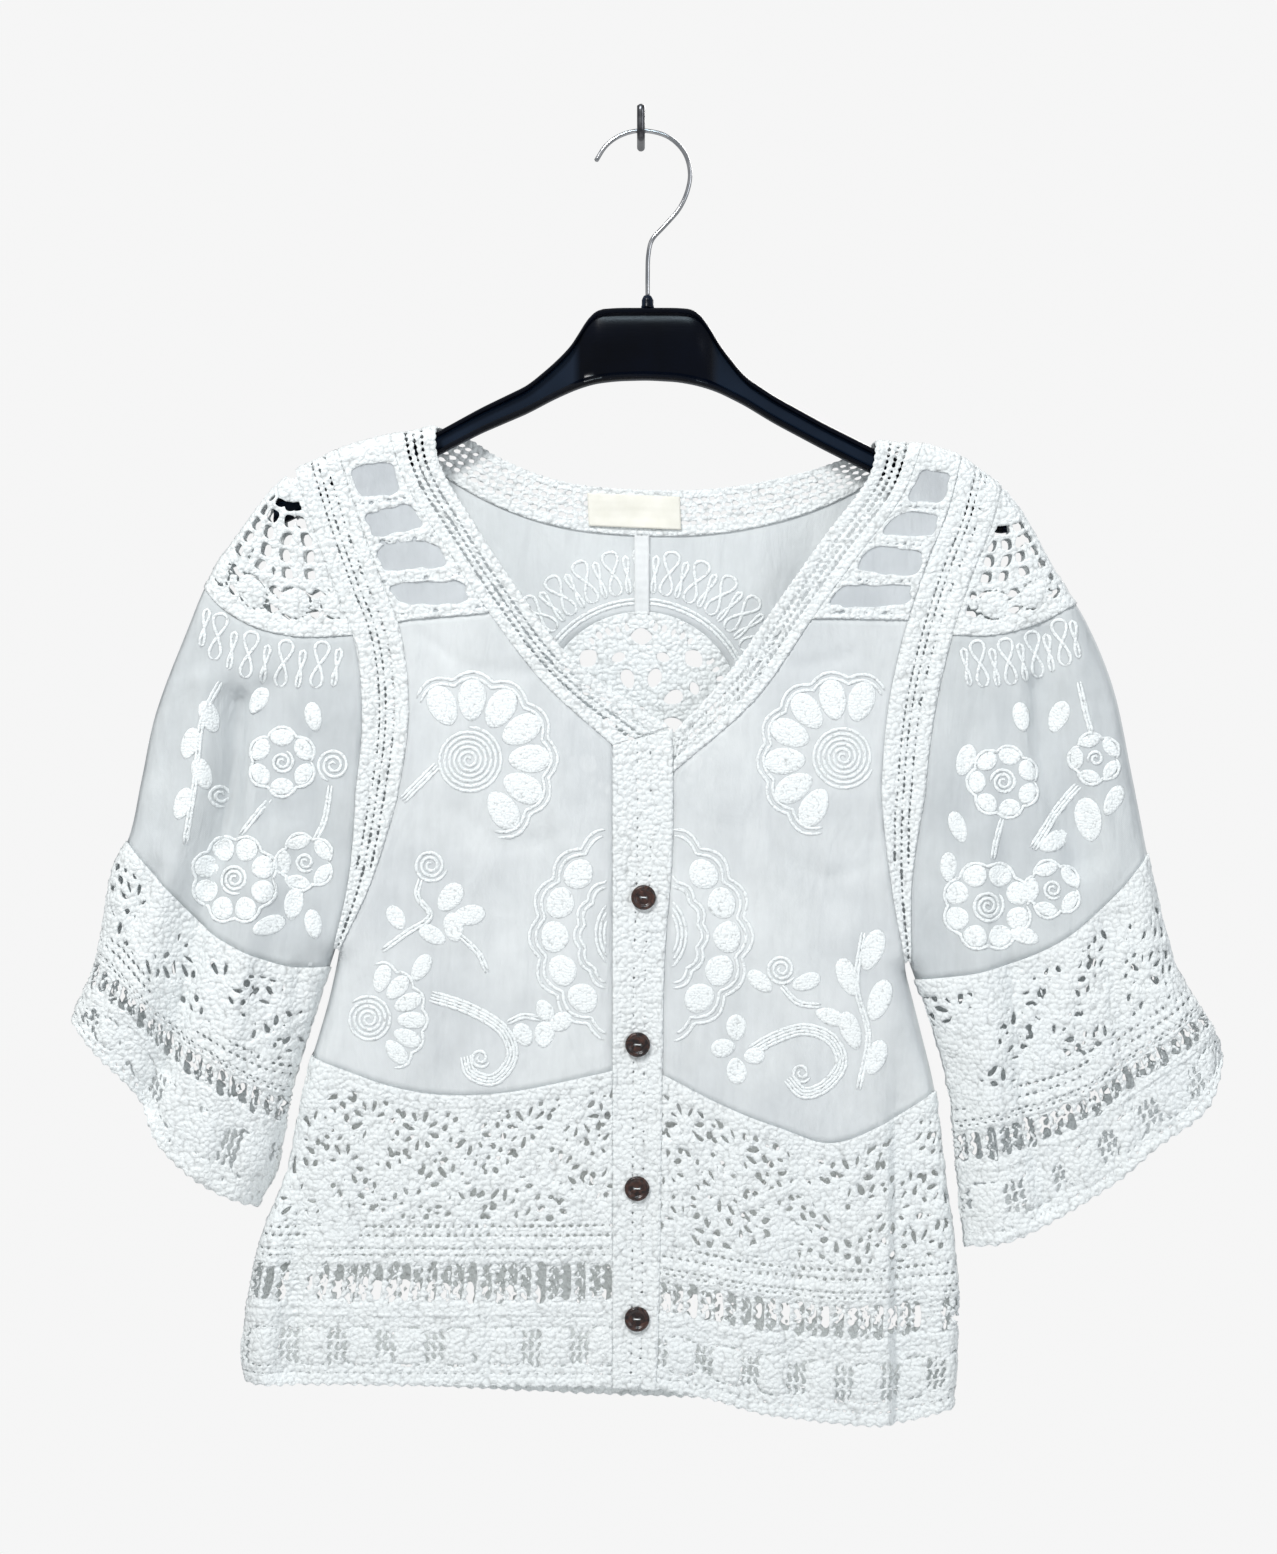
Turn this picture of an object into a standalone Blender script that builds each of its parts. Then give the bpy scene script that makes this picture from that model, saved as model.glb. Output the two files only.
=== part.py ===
"""Openwork cotton blouse that hangs on a moulded hanger from a small wall hook.

The origin is the centre of the wall hook's flat end. +X is to the viewer's right, +Z is up, and the
wall is the plane y = 0, so everything lies at negative y. Tables give places in millimetres as
(x, drop): x to the right of the origin, and drop the distance below it.
"""
import math

import bpy
import numpy as np

MM = 0.001

# driving dimensions, mm
WALL = 1.8
SEAM_GAP = 0.36
FOLD_GAP = 0.3
HANGER_Y = -36.0
HALF_DEPTH = 11.0
HEM_EXTRA_DEPTH = 3.0
CUFF_EXTRA_DEPTH = 9.0
# the cloth turns round its closed edges with this radius, larger low down and on the sleeves
EDGE_RADIUS = 9.0
EDGE_RADIUS_LOW = 5.0
EDGE_RADIUS_SLEEVE = 12.0
# the sleeves' own depth and radius fade in between these distances from the garment's middle
BODY_MIDDLE = -12.0
SLEEVE_START = 180.0
SLEEVE_FULL = 225.0
# cloth or a label on the inside of a wall stands this far from it
LAYER_GAP = 0.4
BUTTON_RADIUS = 7.4
BUTTON_THICK = 3.0
BUTTON_GAP = 0.35
APPLIQUE_THICK = 1.1
APPLIQUE_LIFT = 1.5
MEDALLION = {"x": 0.0, "drop": 345.0, "radius": 60.0, "petals": 8}
# radii of the medallion's rings; gaps lie between the second and third, and the fourth and fifth
RINGS = [3.5, 17, 30, 38, 52, MEDALLION["radius"] - SEAM_GAP]
# under layer of the placket: how far it reaches in, how far its edge is set back, its thickness
UNDER = {"reach": 20.0, "set_back": 0.5, "thick": 1.3}
WIRE_RADIUS = 1.35
SHANK_RADIUS = 2.4

# outlines, rows of (x, drop)
OUTLINE = {
    "left": [(-123, 173.5), (-163, 182), (-197, 194), (-219, 209), (-241, 237), (-259, 264),
             (-274, 299), (-292, 347), (-301, 389), (-308, 421), (-317, 438), (-328, 495), (-343, 531)],
    "right": [(141, 182.5), (171, 185), (203, 198), (226, 221), (248, 259), (268, 292), (284, 331),
              (296, 387), (307, 442), (323, 501), (345, 537), (350, 553)],
}
SLEEVE_INNER = {
    "left": [(-185, 492), (-193, 517), (-209, 569), (-219, 619), (-231, 644)],
    "right": [(163, 501), (176, 537), (185, 571), (190, 622), (195, 668)],
}
BODY_SIDE = {
    "left": [(-182, 493), (-188, 520), (-202, 569), (-213, 623), (-226, 655), (-235, 690), (-240, 737),
             (-237, 749)],
    "right": [(158.5, 500), (168, 537), (177, 575), (183, 627), (188, 662), (191, 700), (188, 765)],
}
# centre line of each armhole band and half its width there; it is cut off at the shoulder's outline
ARMHOLE = {
    "left": [(-199, 180, 14), (-181, 238, 14), (-169, 271, 14), (-158, 300, 14), (-153, 345, 14),
             (-158.5, 396, 12.5), (-169, 449, 6.5), (-182.5, 488, 1.8)],
    "right": [(208, 186, 14), (197, 230, 14), (185, 260, 14), (172, 300, 14), (162, 345, 14),
              (157, 396, 13), (156, 449, 6), (160, 496, 1.8)],
}
NECK_INNER = {
    "left": [(-123, 173.5), (-121, 195), (-97, 237), (-73, 273), (-40, 315), (18, 355)],
    "right": [(141, 182.5), (137, 203), (110, 240), (83, 278), (50, 325), (20.5, 357)],
}
NECK_OUTER = {
    "left": [(-151, 179), (-141, 209), (-116, 249), (-92, 285), (-58, 329), (-17, 366)],
    "right": [(169, 184.8), (157, 216), (129, 254), (102, 291), (69, 338), (19.3, 382)],
}
BACK_NECK_TOP = [(-123, 173.5), (-103, 181), (-85, 192), (-48, 206), (0, 211), (48, 210), (96, 201),
                 (131, 189), (141, 182.5)]
# places of the grid's lines near the neck's ends, mm from the shoulder fold
NECK_END = (2.8, 8.8, 17.5, 30)
BACK_NECK_LOW = [(-151, 179), (-118, 204), (-85, 222), (-48, 234), (0, 239), (48, 237.5), (96, 227),
                 (135, 209.5), (169, 184.8)]
PLACKET = {
    "left": [(-17, 366), (-17, 751)],
    "right": [(19, 356), (19, 426), (14, 497), (13, 560), (11, 700), (9, 752)],
}
# rows across the front, each from the side seam to the placket or the other way round
FRONT_ROWS = {
    "left": {
        "yoke": [(-142, 291), (-92, 287)],
        "tape": [(-200, 552), (-176, 561), (-150, 570), (-122, 575), (-82, 574), (-17, 561)],
        "lace": [(-229, 664), (-140, 664), (-17, 664)],
        "ladder": [(-238, 706), (-140, 708), (-17, 707)],
        "hem": [(-237, 749), (-140, 750), (-17, 751)],
    },
    "right": {
        "yoke": [(102, 290), (160, 291)],
        "tape": [(13, 563), (52, 583), (83, 595), (113, 604), (145, 593), (177, 574)],
        "lace": [(12, 676), (67, 686), (128, 691), (190, 687)],
        "ladder": [(11, 712), (67, 722), (128, 729), (190, 723)],
        "hem": [(9, 752), (43, 759), (67, 766), (98, 771), (151, 774), (188, 765)],
    },
}
BACK_ROWS = {
    "tape": [(-200, 552), (-110, 580), (-12, 590), (90, 588), (177, 574)],
    "lace": [(-229, 664), (-12, 676), (190, 687)],
    "ladder": [(-238, 706), (-12, 715), (190, 723)],
    "hem": [(-237, 749), (-12, 760), (188, 765)],
}
# rows round each sleeve, from the armhole or inner fold to the outer fold
SLEEVE_ROWS = {
    "left": {
        "shoulder": [(-209.2, 207), (-213, 204.4)],
        "cap": [(-172, 300), (-205, 301), (-232, 295), (-252, 283), (-262.4, 271)],
        "voile": [(-187, 499), (-212, 498), (-256, 479), (-283, 452), (-308.5, 424)],
        "lace": [(-209, 569), (-224, 565), (-253, 549), (-281, 531), (-307, 503), (-327.5, 486)],
        "ladder": [(-213.5, 598), (-224, 593), (-253, 577), (-281, 560), (-307, 531), (-336, 514)],
        "hem": [(-231, 644), (-259, 631), (-288, 606), (-302, 576), (-327, 550), (-343, 531)],
    },
    "right": {
        "shoulder": [(216.8, 212), (219, 213.4)],
        "cap": [(186, 300), (212, 300), (238, 293), (261.3, 281)],
        "voile": [(165, 507), (205, 501), (251, 483), (287, 452), (305, 431)],
        "lace": [(187, 590), (204, 586), (261, 569), (296, 546), (320, 530), (334, 519)],
        "ladder": [(190.3, 622), (217, 618), (263, 598), (303, 568), (325, 554), (345, 537)],
        "hem": [(195, 668), (223, 662), (283, 628), (308, 607), (338, 584), (350, 553)],
    },
}
# soft folds, each a trough along a line: depth, half width, the piece of cloth it lies in
FOLDS = [
    {"line": [(-244, 339), (-248, 399), (-265, 454), (-283, 538), (-295, 580)], "deep": 7.5, "half": 10},
    {"line": [(238, 300), (248, 359), (258, 395), (268, 432)], "deep": 5.5, "half": 9},
    {"line": [(-208, 600), (-212, 660), (-214, 740)], "deep": 5.0, "half": 7},
]
# the back takes part in each fold
BACK_FOLD_SHARE = 0.45
# the right front folds back here, and its side strip lies deeper
STEP = {"x": 148.0, "run": 6.0, "share": 0.5, "drop_start": 520.0, "drop_full": 590.0}

FLOWERS = [
    {"name": "applique_daisy_left", "x": -104, "drop": 376, "radius": 50, "petals": 9,
     "from_deg": -75, "to_deg": 185},
    {"name": "applique_daisy_right", "x": 121, "drop": 376, "radius": 48, "petals": 9,
     "from_deg": -5, "to_deg": 255},
]
# it shows at both sides of the placket, which it stays clear of
BIG_FLOWER = {"x": 0, "drop": 477, "radius": 64, "petals": 7, "half_deg": 66,
              "clear_left": 19.0, "clear_right": 17.5}
FLOWER_EYE = 6.0
# the grid's lines near a fold lie at these shares of the fold's width
BODY_FOLD = 14.0
EDGE_SHARES = (0, 0.08, 0.36, 1.0)
# width of each panel, intervals of its grid between the folds, gaps in each, sides that are folds
PANELS = {
    "left": {"width": 212.0, "count": 5, "gaps": 2, "folds": "l"},
    "right": {"width": 178.0, "count": 5, "gaps": 2, "folds": "r"},
    "back": {"width": 422.0, "count": 8, "gaps": 2, "folds": "lr"},
}
# shares across a sleeve where its grid has a line
SLEEVE_LINES = [0, 0.015, 0.06, 0.16, 0.3, 0.44, 0.54, 0.62, 0.7, 0.84, 0.94, 0.985, 1]
# a gap's share of its pitch, and the widest interval that gets none
GAP_SHARE = 0.52
NARROW = 0.075
YOKE_ROWS = [0, 0.03, 0.08, 0.15, 0.23, 0.31, 0.4, 0.5, 0.62, 0.75, 0.88, 1]
ARMHOLE_ROWS = [0, 0.012, 0.035, 0.07]
NECK_ROWS = [0, 0.01, 0.03, 0.06]
# shares of each half back's rim where its neck, shoulder, flank and lower row meet
RIM_SHARES = [0, 0.32, 0.37, 0.7, 1]
BACK_SEAM = {"top": (0.0, 239.0), "foot": (-12.0, 590.0)}
BACK_COLUMNS = [0, 0.5, 0.94, 1]
# shares down the three lace zones, lace then ladder then border, where a row of bars or of gaps begins
LACE_ROWS = [0, 0.12, 0.17, 0.25, 0.3, 0.433, 0.607, 1]
SLEEVE_LACE_ROWS = [0, 0.2, 0.433, 0.607, 1]
CAP_ROWS = [0, 0.2, 0.4, 0.5, 0.7, 0.8, 1]
BUTTONS = [(1.5, 457), (-2, 545), (-2.4, 631), (-2.4, 709)]
LABEL = {"x": -4.0, "drop": 224.5, "width": 56.0, "height": 20.0, "tilt_deg": -2.5, "thick": 0.8}

COLOURS = {
    "cotton": (0.86, 0.9, 0.9), "voile": (0.80, 0.82, 0.84), "plastic": (0.012, 0.018, 0.035),
    "chrome": (0.6, 0.6, 0.6), "button": (0.05, 0.028, 0.022), "label": (0.85, 0.84, 0.78),
}


def clear_scene():
    for item in list(bpy.data.objects):
        bpy.data.objects.remove(item, do_unlink=True)


def material(name, roughness, metallic=0.0):
    made = bpy.data.materials.get(name)
    if made is None:
        made = bpy.data.materials.new(name)
        made.use_nodes = True
        shader = made.node_tree.nodes["Principled BSDF"]
        shader.inputs["Base Color"].default_value = (*COLOURS[name], 1.0)
        shader.inputs["Roughness"].default_value = roughness
        shader.inputs["Metallic"].default_value = metallic
    return made


def cotton():
    return material("cotton", 0.85)


def voile():
    return material("voile", 0.8)


def smooth_curve(points, steps=12):
    """Dense points along a rounded curve through the given ones."""
    p = np.array(points, float)
    if len(p) == 2:
        share = np.linspace(0, 1, steps + 1)[:, None]
        return p[0] * (1 - share) + p[1] * share
    padded = np.vstack([2 * p[0] - p[1], p, 2 * p[-1] - p[-2]])
    rows = []
    for k in range(1, len(padded) - 2):
        a, b, c, d = padded[k - 1:k + 3]
        gap = [max(np.linalg.norm(q - r) ** 0.5, 1e-6) for q, r in ((b, a), (c, b), (d, c))]
        slope_b = (b - a) / gap[0] - (c - a) / (gap[0] + gap[1]) + (c - b) / gap[1]
        slope_c = (c - b) / gap[1] - (d - b) / (gap[1] + gap[2]) + (d - c) / gap[2]
        slope_b, slope_c = slope_b * gap[1], slope_c * gap[1]
        t = np.linspace(0, 1, steps, endpoint=False)[:, None]
        rows.append((2 * t**3 - 3 * t**2 + 1) * b + (t**3 - 2 * t**2 + t) * slope_b
                    + (3 * t**2 - 2 * t**3) * c + (t**3 - t**2) * slope_c)
    rows.append(p[-1:])
    return np.vstack(rows)


def lengths_along(curve):
    return np.concatenate([[0], np.cumsum(np.linalg.norm(np.diff(curve, axis=0), axis=1))])


def along(curve, share):
    """Points at the given shares of a curve's length."""
    run = lengths_along(curve)
    at = np.clip(np.asarray(share, float), 0, 1) * run[-1]
    return np.stack([np.interp(at, run, curve[:, 0]), np.interp(at, run, curve[:, 1])], axis=-1)


def cut_curve(curve, start, end):
    """The stretch of a curve between the points nearest to two given ones."""
    run = lengths_along(curve)
    fine = np.linspace(0, 1, 1200)
    dense = along(curve, fine)
    first = fine[np.argmin(np.linalg.norm(dense - np.array(start), axis=1))]
    last = fine[np.argmin(np.linalg.norm(dense - np.array(end), axis=1))]
    count = max(4, int(abs(last - first) * run[-1] / 3))
    return along(curve, np.linspace(first, last, count))


def band_edges(rows):
    """Both edges of a band given as centre x, drop and half width."""
    centre = smooth_curve([(x, drop) for x, drop, half in rows])
    halves = np.interp(centre[:, 1], [row[1] for row in rows], [row[2] for row in rows])
    slope = np.gradient(centre, axis=0)
    across = np.stack([slope[:, 1], -slope[:, 0]], axis=1)
    across /= np.linalg.norm(across, axis=1)[:, None]
    return centre + across * halves[:, None], centre - across * halves[:, None]


def inside(curve, outline):
    """The stretch of a curve from where it crosses a shoulder's outline."""
    dense = along(curve, np.linspace(0, 1, 600))
    order = np.argsort(outline[:, 0])
    limit = np.interp(dense[:, 0], outline[order, 0], outline[order, 1])
    first = int(np.argmax(dense[:, 1] >= limit))
    kept = dense[first:].copy()
    kept[0, 1] = limit[first]
    return kept


OUT = {side: smooth_curve(OUTLINE[side]) for side in OUTLINE}
IN_SLEEVE = {side: smooth_curve(SLEEVE_INNER[side]) for side in SLEEVE_INNER}
IN_BODY = {side: smooth_curve(BODY_SIDE[side]) for side in BODY_SIDE}
ARM = {side: [inside(edge, OUT[side]) for edge in band_edges(ARMHOLE[side])] for side in ARMHOLE}


def fold_lines():
    """The closed edges of the cloth, each turned so that the cloth lies on one known hand."""
    return [OUT["left"][::-1], OUT["right"], IN_SLEEVE["left"], IN_SLEEVE["right"][::-1],
            IN_BODY["left"][::-1], IN_BODY["right"]]


EDGES = fold_lines()
SEGMENT_START = np.vstack([line[:-1] for line in EDGES])
SEGMENT_END = np.vstack([line[1:] for line in EDGES])


def to_nearest_edge(points):
    """Distance to the nearest closed edge of the cloth, and the direction away from it."""
    run = SEGMENT_END - SEGMENT_START
    rel = points[:, None, :] - SEGMENT_START[None]
    share = np.clip((rel * run).sum(-1) / (run**2).sum(-1), 0, 1)
    away = rel - share[..., None] * run
    gap = np.linalg.norm(away, axis=-1)
    best = np.argmin(gap, axis=1)
    picked = np.arange(len(points))
    distance = gap[picked, best]
    inward = np.stack([-run[best, 1], run[best, 0]], axis=1)
    inward /= np.linalg.norm(inward, axis=1)[:, None]
    direction = np.where(distance[:, None] > 0.3, away[picked, best] / np.maximum(distance, 1e-9)[:, None],
                         inward)
    return distance, direction


def ramp(value, start, end):
    t = np.clip((value - start) / (end - start), 0, 1)
    return t * t * (3 - 2 * t)


def line_distance(points, line):
    curve = smooth_curve(line, 6)
    start, run = curve[:-1], np.diff(curve, axis=0)
    rel = points[:, None, :] - start[None]
    share = np.clip((rel * run).sum(-1) / (run**2).sum(-1), 0, 1)
    return np.linalg.norm(rel - share[..., None] * run, axis=-1).min(axis=1)


def free_depth(points, face):
    """How far the cloth stands from the hanger's plane away from its edges."""
    x, drop = points[:, 0], points[:, 1]
    sleeve = ramp(np.abs(x - BODY_MIDDLE), SLEEVE_START, SLEEVE_FULL)
    depth = (HALF_DEPTH + HEM_EXTRA_DEPTH * ramp(drop, 250, 700)
             + CUFF_EXTRA_DEPTH * ramp(drop, 330, 560) * sleeve)
    share = 1.0 if face == "front" else BACK_FOLD_SHARE
    for fold in FOLDS:
        trough = np.exp(-(line_distance(points, fold["line"]) / fold["half"])**2)
        depth = depth - share * fold["deep"] * trough
    if face == "front":
        step = ramp(x, STEP["x"], STEP["x"] + STEP["run"]) * (1 - sleeve)
        depth = depth * (1 - STEP["share"] * step * ramp(drop, STEP["drop_start"], STEP["drop_full"]))
    return depth


def edge_radius(points):
    x, drop = points[:, 0], points[:, 1]
    sleeve = ramp(np.abs(x - BODY_MIDDLE), SLEEVE_START, SLEEVE_FULL)
    return (EDGE_RADIUS + EDGE_RADIUS_LOW * ramp(drop, 220, 420)
            + EDGE_RADIUS_SLEEVE * ramp(drop, 330, 560) * sleeve)


def cloth_point(points, face, lift=0.0):
    """Outer points of the cloth over places (x, drop), and the direction to its inside."""
    distance, direction = to_nearest_edge(points)
    radius = edge_radius(points)
    free = free_depth(points, face)
    t = np.clip(distance / radius, 0, 1)
    round_off = np.sqrt(np.maximum(1 - (1 - t)**2, 0))
    depth = free * round_off
    slope_edge = np.where(t < 1, free * (1 - t) / np.maximum(round_off, 0.02) / radius, 0)
    slope = direction * slope_edge[:, None]
    step = 0.5
    for axis in (0, 1):
        move = np.zeros(2)
        move[axis] = step
        change = free_depth(points + move, face) - free_depth(points - move, face)
        slope[:, axis] += change / (2 * step) * round_off
    sign = -1.0 if face == "front" else 1.0
    y = HANGER_Y + sign * (FOLD_GAP / 2 + depth)
    outer = np.stack([points[:, 0], y, -points[:, 1]], axis=1)
    inward = np.stack([slope[:, 0], np.full(len(points), -sign), -slope[:, 1]], axis=1)
    inward /= np.linalg.norm(inward, axis=1)[:, None]
    return outer - inward * lift, inward


def coons(top, bottom, left, right):
    """A patch between four curves that meet at their ends, as a function of shares u and v."""
    def place(u, v):
        u, v = u[:, None], v[:, None]
        sides = (1 - u) * along(left, v[:, 0]) + u * along(right, v[:, 0])
        ends = (1 - v) * along(top, u[:, 0]) + v * along(bottom, u[:, 0])
        corners = ((1 - u) * (1 - v) * top[0] + u * (1 - v) * top[-1]
                   + (1 - u) * v * bottom[0] + u * v * bottom[-1])
        return sides + ends - corners
    return place


def ruled(inner, outer):
    """A patch between two curves; u runs from the first to the second."""
    def place(u, v):
        u = u[:, None]
        return (1 - u) * along(inner, v) + u * along(outer, v)
    return place


def shrink(place, us, vs, seams):
    """Grid of shares, drawn in by half a seam gap on the sides that are sewn."""
    grid_u, grid_v = np.meshgrid(us, vs, indexing="ij")
    half = SEAM_GAP / 2
    ones_u, ones_v = np.ones(len(us)), np.ones(len(vs))
    wide = np.linalg.norm(place(ones_v, np.array(vs)) - place(0 * ones_v, np.array(vs)), axis=1)
    high = np.linalg.norm(place(np.array(us), ones_u) - place(np.array(us), 0 * ones_u), axis=1)
    draw_u = np.minimum(half / np.maximum(wide, 1e-6), 0.2)[None, :]
    draw_v = np.minimum(half / np.maximum(high, 1e-6), 0.2)[:, None]
    if "l" in seams:
        grid_u = grid_u + draw_u * (1 - grid_u)
    if "r" in seams:
        grid_u = grid_u - draw_u * grid_u
    if "t" in seams:
        grid_v = grid_v + draw_v * (1 - grid_v)
    if "b" in seams:
        grid_v = grid_v - draw_v * grid_v
    return grid_u, grid_v


def closed_wall(outer, inner, cut, loop=False):
    """Vertices and faces of a wall between two grids of points, with cells left out as holes."""
    rows, columns = outer.shape[:2]
    vertices = np.vstack([outer.reshape(-1, 3), inner.reshape(-1, 3)])
    under = rows * columns
    last = rows if loop else rows - 1

    def solid(i, j):
        if loop:
            i %= rows
        elif not 0 <= i < rows - 1:
            return False
        return 0 <= j < columns - 1 and (i, j) not in cut

    faces = []
    for i in range(last):
        for j in range(columns - 1):
            if not solid(i, j):
                continue
            a, b = i * columns + j, ((i + 1) % rows) * columns + j
            faces.append((a, b, b + 1, a + 1))
            faces.append((a + under, a + 1 + under, b + 1 + under, b + under))
            for empty, p, q in ((not solid(i, j - 1), b, a), (not solid(i + 1, j), b + 1, b),
                                (not solid(i, j + 1), a + 1, b + 1), (not solid(i - 1, j), a, a + 1)):
                if empty:
                    faces.append((p, q, q + under, p + under))
    return vertices, faces


def add_mesh(name, vertices, faces, finish):
    """A named object from points in mm, with unused points dropped and its faces turned outwards."""
    used = sorted({k for face in faces for k in face})
    renumber = {old: new for new, old in enumerate(used)}
    points = [tuple(float(c) * MM for c in vertices[k]) for k in used]
    mesh = bpy.data.meshes.new(name)
    faces = [tuple(renumber[k] for k in face) for face in faces]
    p = np.array(points)
    volume = sum(np.dot(p[f[0]], np.cross(p[f[k]], p[f[k + 1]])) for f in faces for k in range(1, len(f) - 1))
    if volume < 0:
        faces = [face[::-1] for face in faces]
    mesh.from_pydata(points, [], faces)
    mesh.materials.append(finish)
    item = bpy.data.objects.new(name, mesh)
    bpy.context.scene.collection.objects.link(item)
    mesh.shade_smooth()
    mesh.set_sharp_from_angle(angle=math.radians(50))
    return item


def straight_between(grid, us, knots):
    """Puts the first row's points between the knots on straight lines, as the piece above has them."""
    for i, u in enumerate(us):
        if not any(abs(u - knot) < 1e-9 for knot in knots):
            before = max(k for k in range(len(us)) if us[k] < u and us[k] in knots)
            after = min(k for k in range(len(us)) if us[k] > u and us[k] in knots)
            share = (u - us[before]) / (us[after] - us[before])
            grid[i, 0] = (1 - share) * grid[before, 0] + share * grid[after, 0]


def wall(name, finish, place, face, us, vs, seams="lrtb", holes=(), thick=WALL, lift=0.0, loop=False,
         knots=None):
    """One piece of cloth: the places of a patch, lifted onto the garment and given its thickness."""
    if loop:
        grid_u, grid_v = np.meshgrid(us, vs, indexing="ij")
    else:
        grid_u, grid_v = shrink(place, us, vs, seams)
    places = place(grid_u.ravel(), grid_v.ravel())
    outer, inward = cloth_point(places, face, lift)
    inner = outer + inward * thick
    if face == "front":
        inner[:, 1] = np.minimum(inner[:, 1], HANGER_Y - FOLD_GAP / 2)
    else:
        inner[:, 1] = np.maximum(inner[:, 1], HANGER_Y + FOLD_GAP / 2)
    shape = (len(us), len(vs), 3)
    outer, inner = outer.reshape(shape), inner.reshape(shape)
    if knots:
        straight_between(outer, us, knots)
        straight_between(inner, us, knots)
    vertices, faces = closed_wall(outer, inner, set(holes), loop)
    return add_mesh(name, vertices, faces, finish)


def lines(start, end, count):
    return list(np.linspace(start, end, count + 1))


def edge_lines(panel_size):
    """Shares across a panel, close together where the cloth turns round a fold."""
    reach = BODY_FOLD / panel_size["width"]
    low = [s * reach for s in EDGE_SHARES] if "l" in panel_size["folds"] else [0.0]
    high = [1 - s * reach for s in reversed(EDGE_SHARES)] if "r" in panel_size["folds"] else [1.0]
    return low + lines(low[-1], high[0], panel_size["count"])[1:-1] + high


def gap_lines(knots, gaps, share, narrow):
    """Lines for the gaps between the given ones, and the numbers of the cells that are gaps.

    Intervals no wider than narrow get none. Each other one gets its gaps with bars between them.
    """
    found, cells = [knots[0]], []
    for start, end in zip(knots, knots[1:]):
        if end - start > narrow:
            pitch = (end - start) / gaps
            for k in range(gaps):
                middle = start + (k + 0.5) * pitch
                found.append(middle - share * pitch / 2)
                cells.append(len(found) - 1)
                found.append(middle + share * pitch / 2)
        found.append(end)
    return found, cells


def holes_at(columns, rows):
    return [(i, j) for i in columns for j in rows]


def lace_holes(cells):
    """Gaps in the flower lace, in two rows that alternate, and in the whole ladder."""
    return holes_at(cells[::4], [1]) + holes_at(cells[2::4], [3]) + holes_at(cells, [5])


def stack(patches):
    """Patches one below the other as one patch, each with an equal share of v."""
    def place(u, v):
        scaled = np.clip(v, 0, 1) * len(patches)
        level = np.minimum(scaled.astype(int), len(patches) - 1)
        points = np.zeros((len(u), 2))
        for k, patch in enumerate(patches):
            here = level == k
            if here.any():
                points[here] = patch(u[here], scaled[here] - k)
        return points
    return place


def side_length(curve):
    return lengths_along(curve)[-1]


def front_edges(side):
    """The front panel's curve at its side, from the shoulder to the hem, and its inner one."""
    towards_body = min(ARM[side], key=lambda curve: abs(curve[len(curve) // 2, 0]))
    outer = np.vstack([towards_body, IN_BODY[side][1:]])
    neck = smooth_curve(NECK_OUTER[side])
    edge = smooth_curve(PLACKET[side])
    inner = np.vstack([neck, cut_curve(edge, neck[-1], edge[-1])[1:]])
    return outer, inner


def sleeve_edges(side):
    towards_sleeve = max(ARM[side], key=lambda curve: abs(curve[len(curve) // 2, 0]))
    return np.vstack([towards_sleeve, IN_SLEEVE[side][1:]])


def panel(rows_top, rows_bottom, left_edge, right_edge):
    """Patch between two rows, with the stretches of the side curves that join their ends."""
    top, bottom = smooth_curve(rows_top), smooth_curve(rows_bottom)
    left = cut_curve(left_edge, top[0], bottom[0])
    right = cut_curve(right_edge, top[-1], bottom[-1])
    top[0], top[-1] = left[0], right[0]
    bottom[0], bottom[-1] = left[-1], right[-1]
    return coons(top, bottom, left, right)


def build_front(side):
    """One front: yoke, sheer panel, lace, ladder and border, side seam to placket."""
    rows = FRONT_ROWS[side]
    outer, inner = front_edges(side)
    left_edge, right_edge = (outer, inner) if side == "left" else (inner, outer)
    shoulder = cut_curve(OUT[side], outer[0], inner[0])
    shoulder = shoulder if side == "left" else shoulder[::-1]
    yoke = panel(shoulder, rows["yoke"], left_edge, right_edge)
    wall(f"front_yoke_{side}", voile(), yoke, "front", lines(0, 1, 3), YOKE_ROWS, "lrb")
    sheer = panel(rows["yoke"], rows["tape"], left_edge, right_edge)
    across = edge_lines(PANELS[side])
    wall(f"front_voile_{side}", voile(), sheer, "front", across, lines(0, 1, 20))
    order = ["tape", "lace", "ladder", "hem"]
    lace = stack([panel(rows[a], rows[b], left_edge, right_edge) for a, b in zip(order, order[1:])])
    us, cells = gap_lines(across, PANELS[side]["gaps"], GAP_SHARE, NARROW)
    wall(f"front_lace_{side}", cotton(), lace, "front", us, LACE_ROWS, "lrt", lace_holes(cells),
         knots=across)


def build_armholes():
    for side in ARM:
        low, high = ARM[side]
        for face in ("front", "back"):
            place = ruled(low, high)
            rows = ARMHOLE_ROWS + lines(0.115, 1, 20)
            wall(f"armhole_band_{face}_{side}", cotton(), place, face, [0, 1], rows, "lr")


def build_neckbands():
    for side in NECK_INNER:
        place = ruled(smooth_curve(NECK_INNER[side]), smooth_curve(NECK_OUTER[side]))
        rows = NECK_ROWS + lines(0.09, 0.3, 6) + lines(0.3, 1, 11)[1:]
        wall(f"neckband_{side}", cotton(), place, "front", [0, 1], rows, "rb")
    place = ruled(smooth_curve(BACK_NECK_TOP), smooth_curve(BACK_NECK_LOW))
    ends = [0] + [reach / side_length(smooth_curve(BACK_NECK_LOW)) for reach in NECK_END]
    rows = ends[:-1] + lines(ends[-1], 1 - ends[-1], 20) + [1 - s for s in reversed(ends[:-1])]
    wall("neckband_back", cotton(), place, "back", [0, 1], rows, "r")


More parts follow.
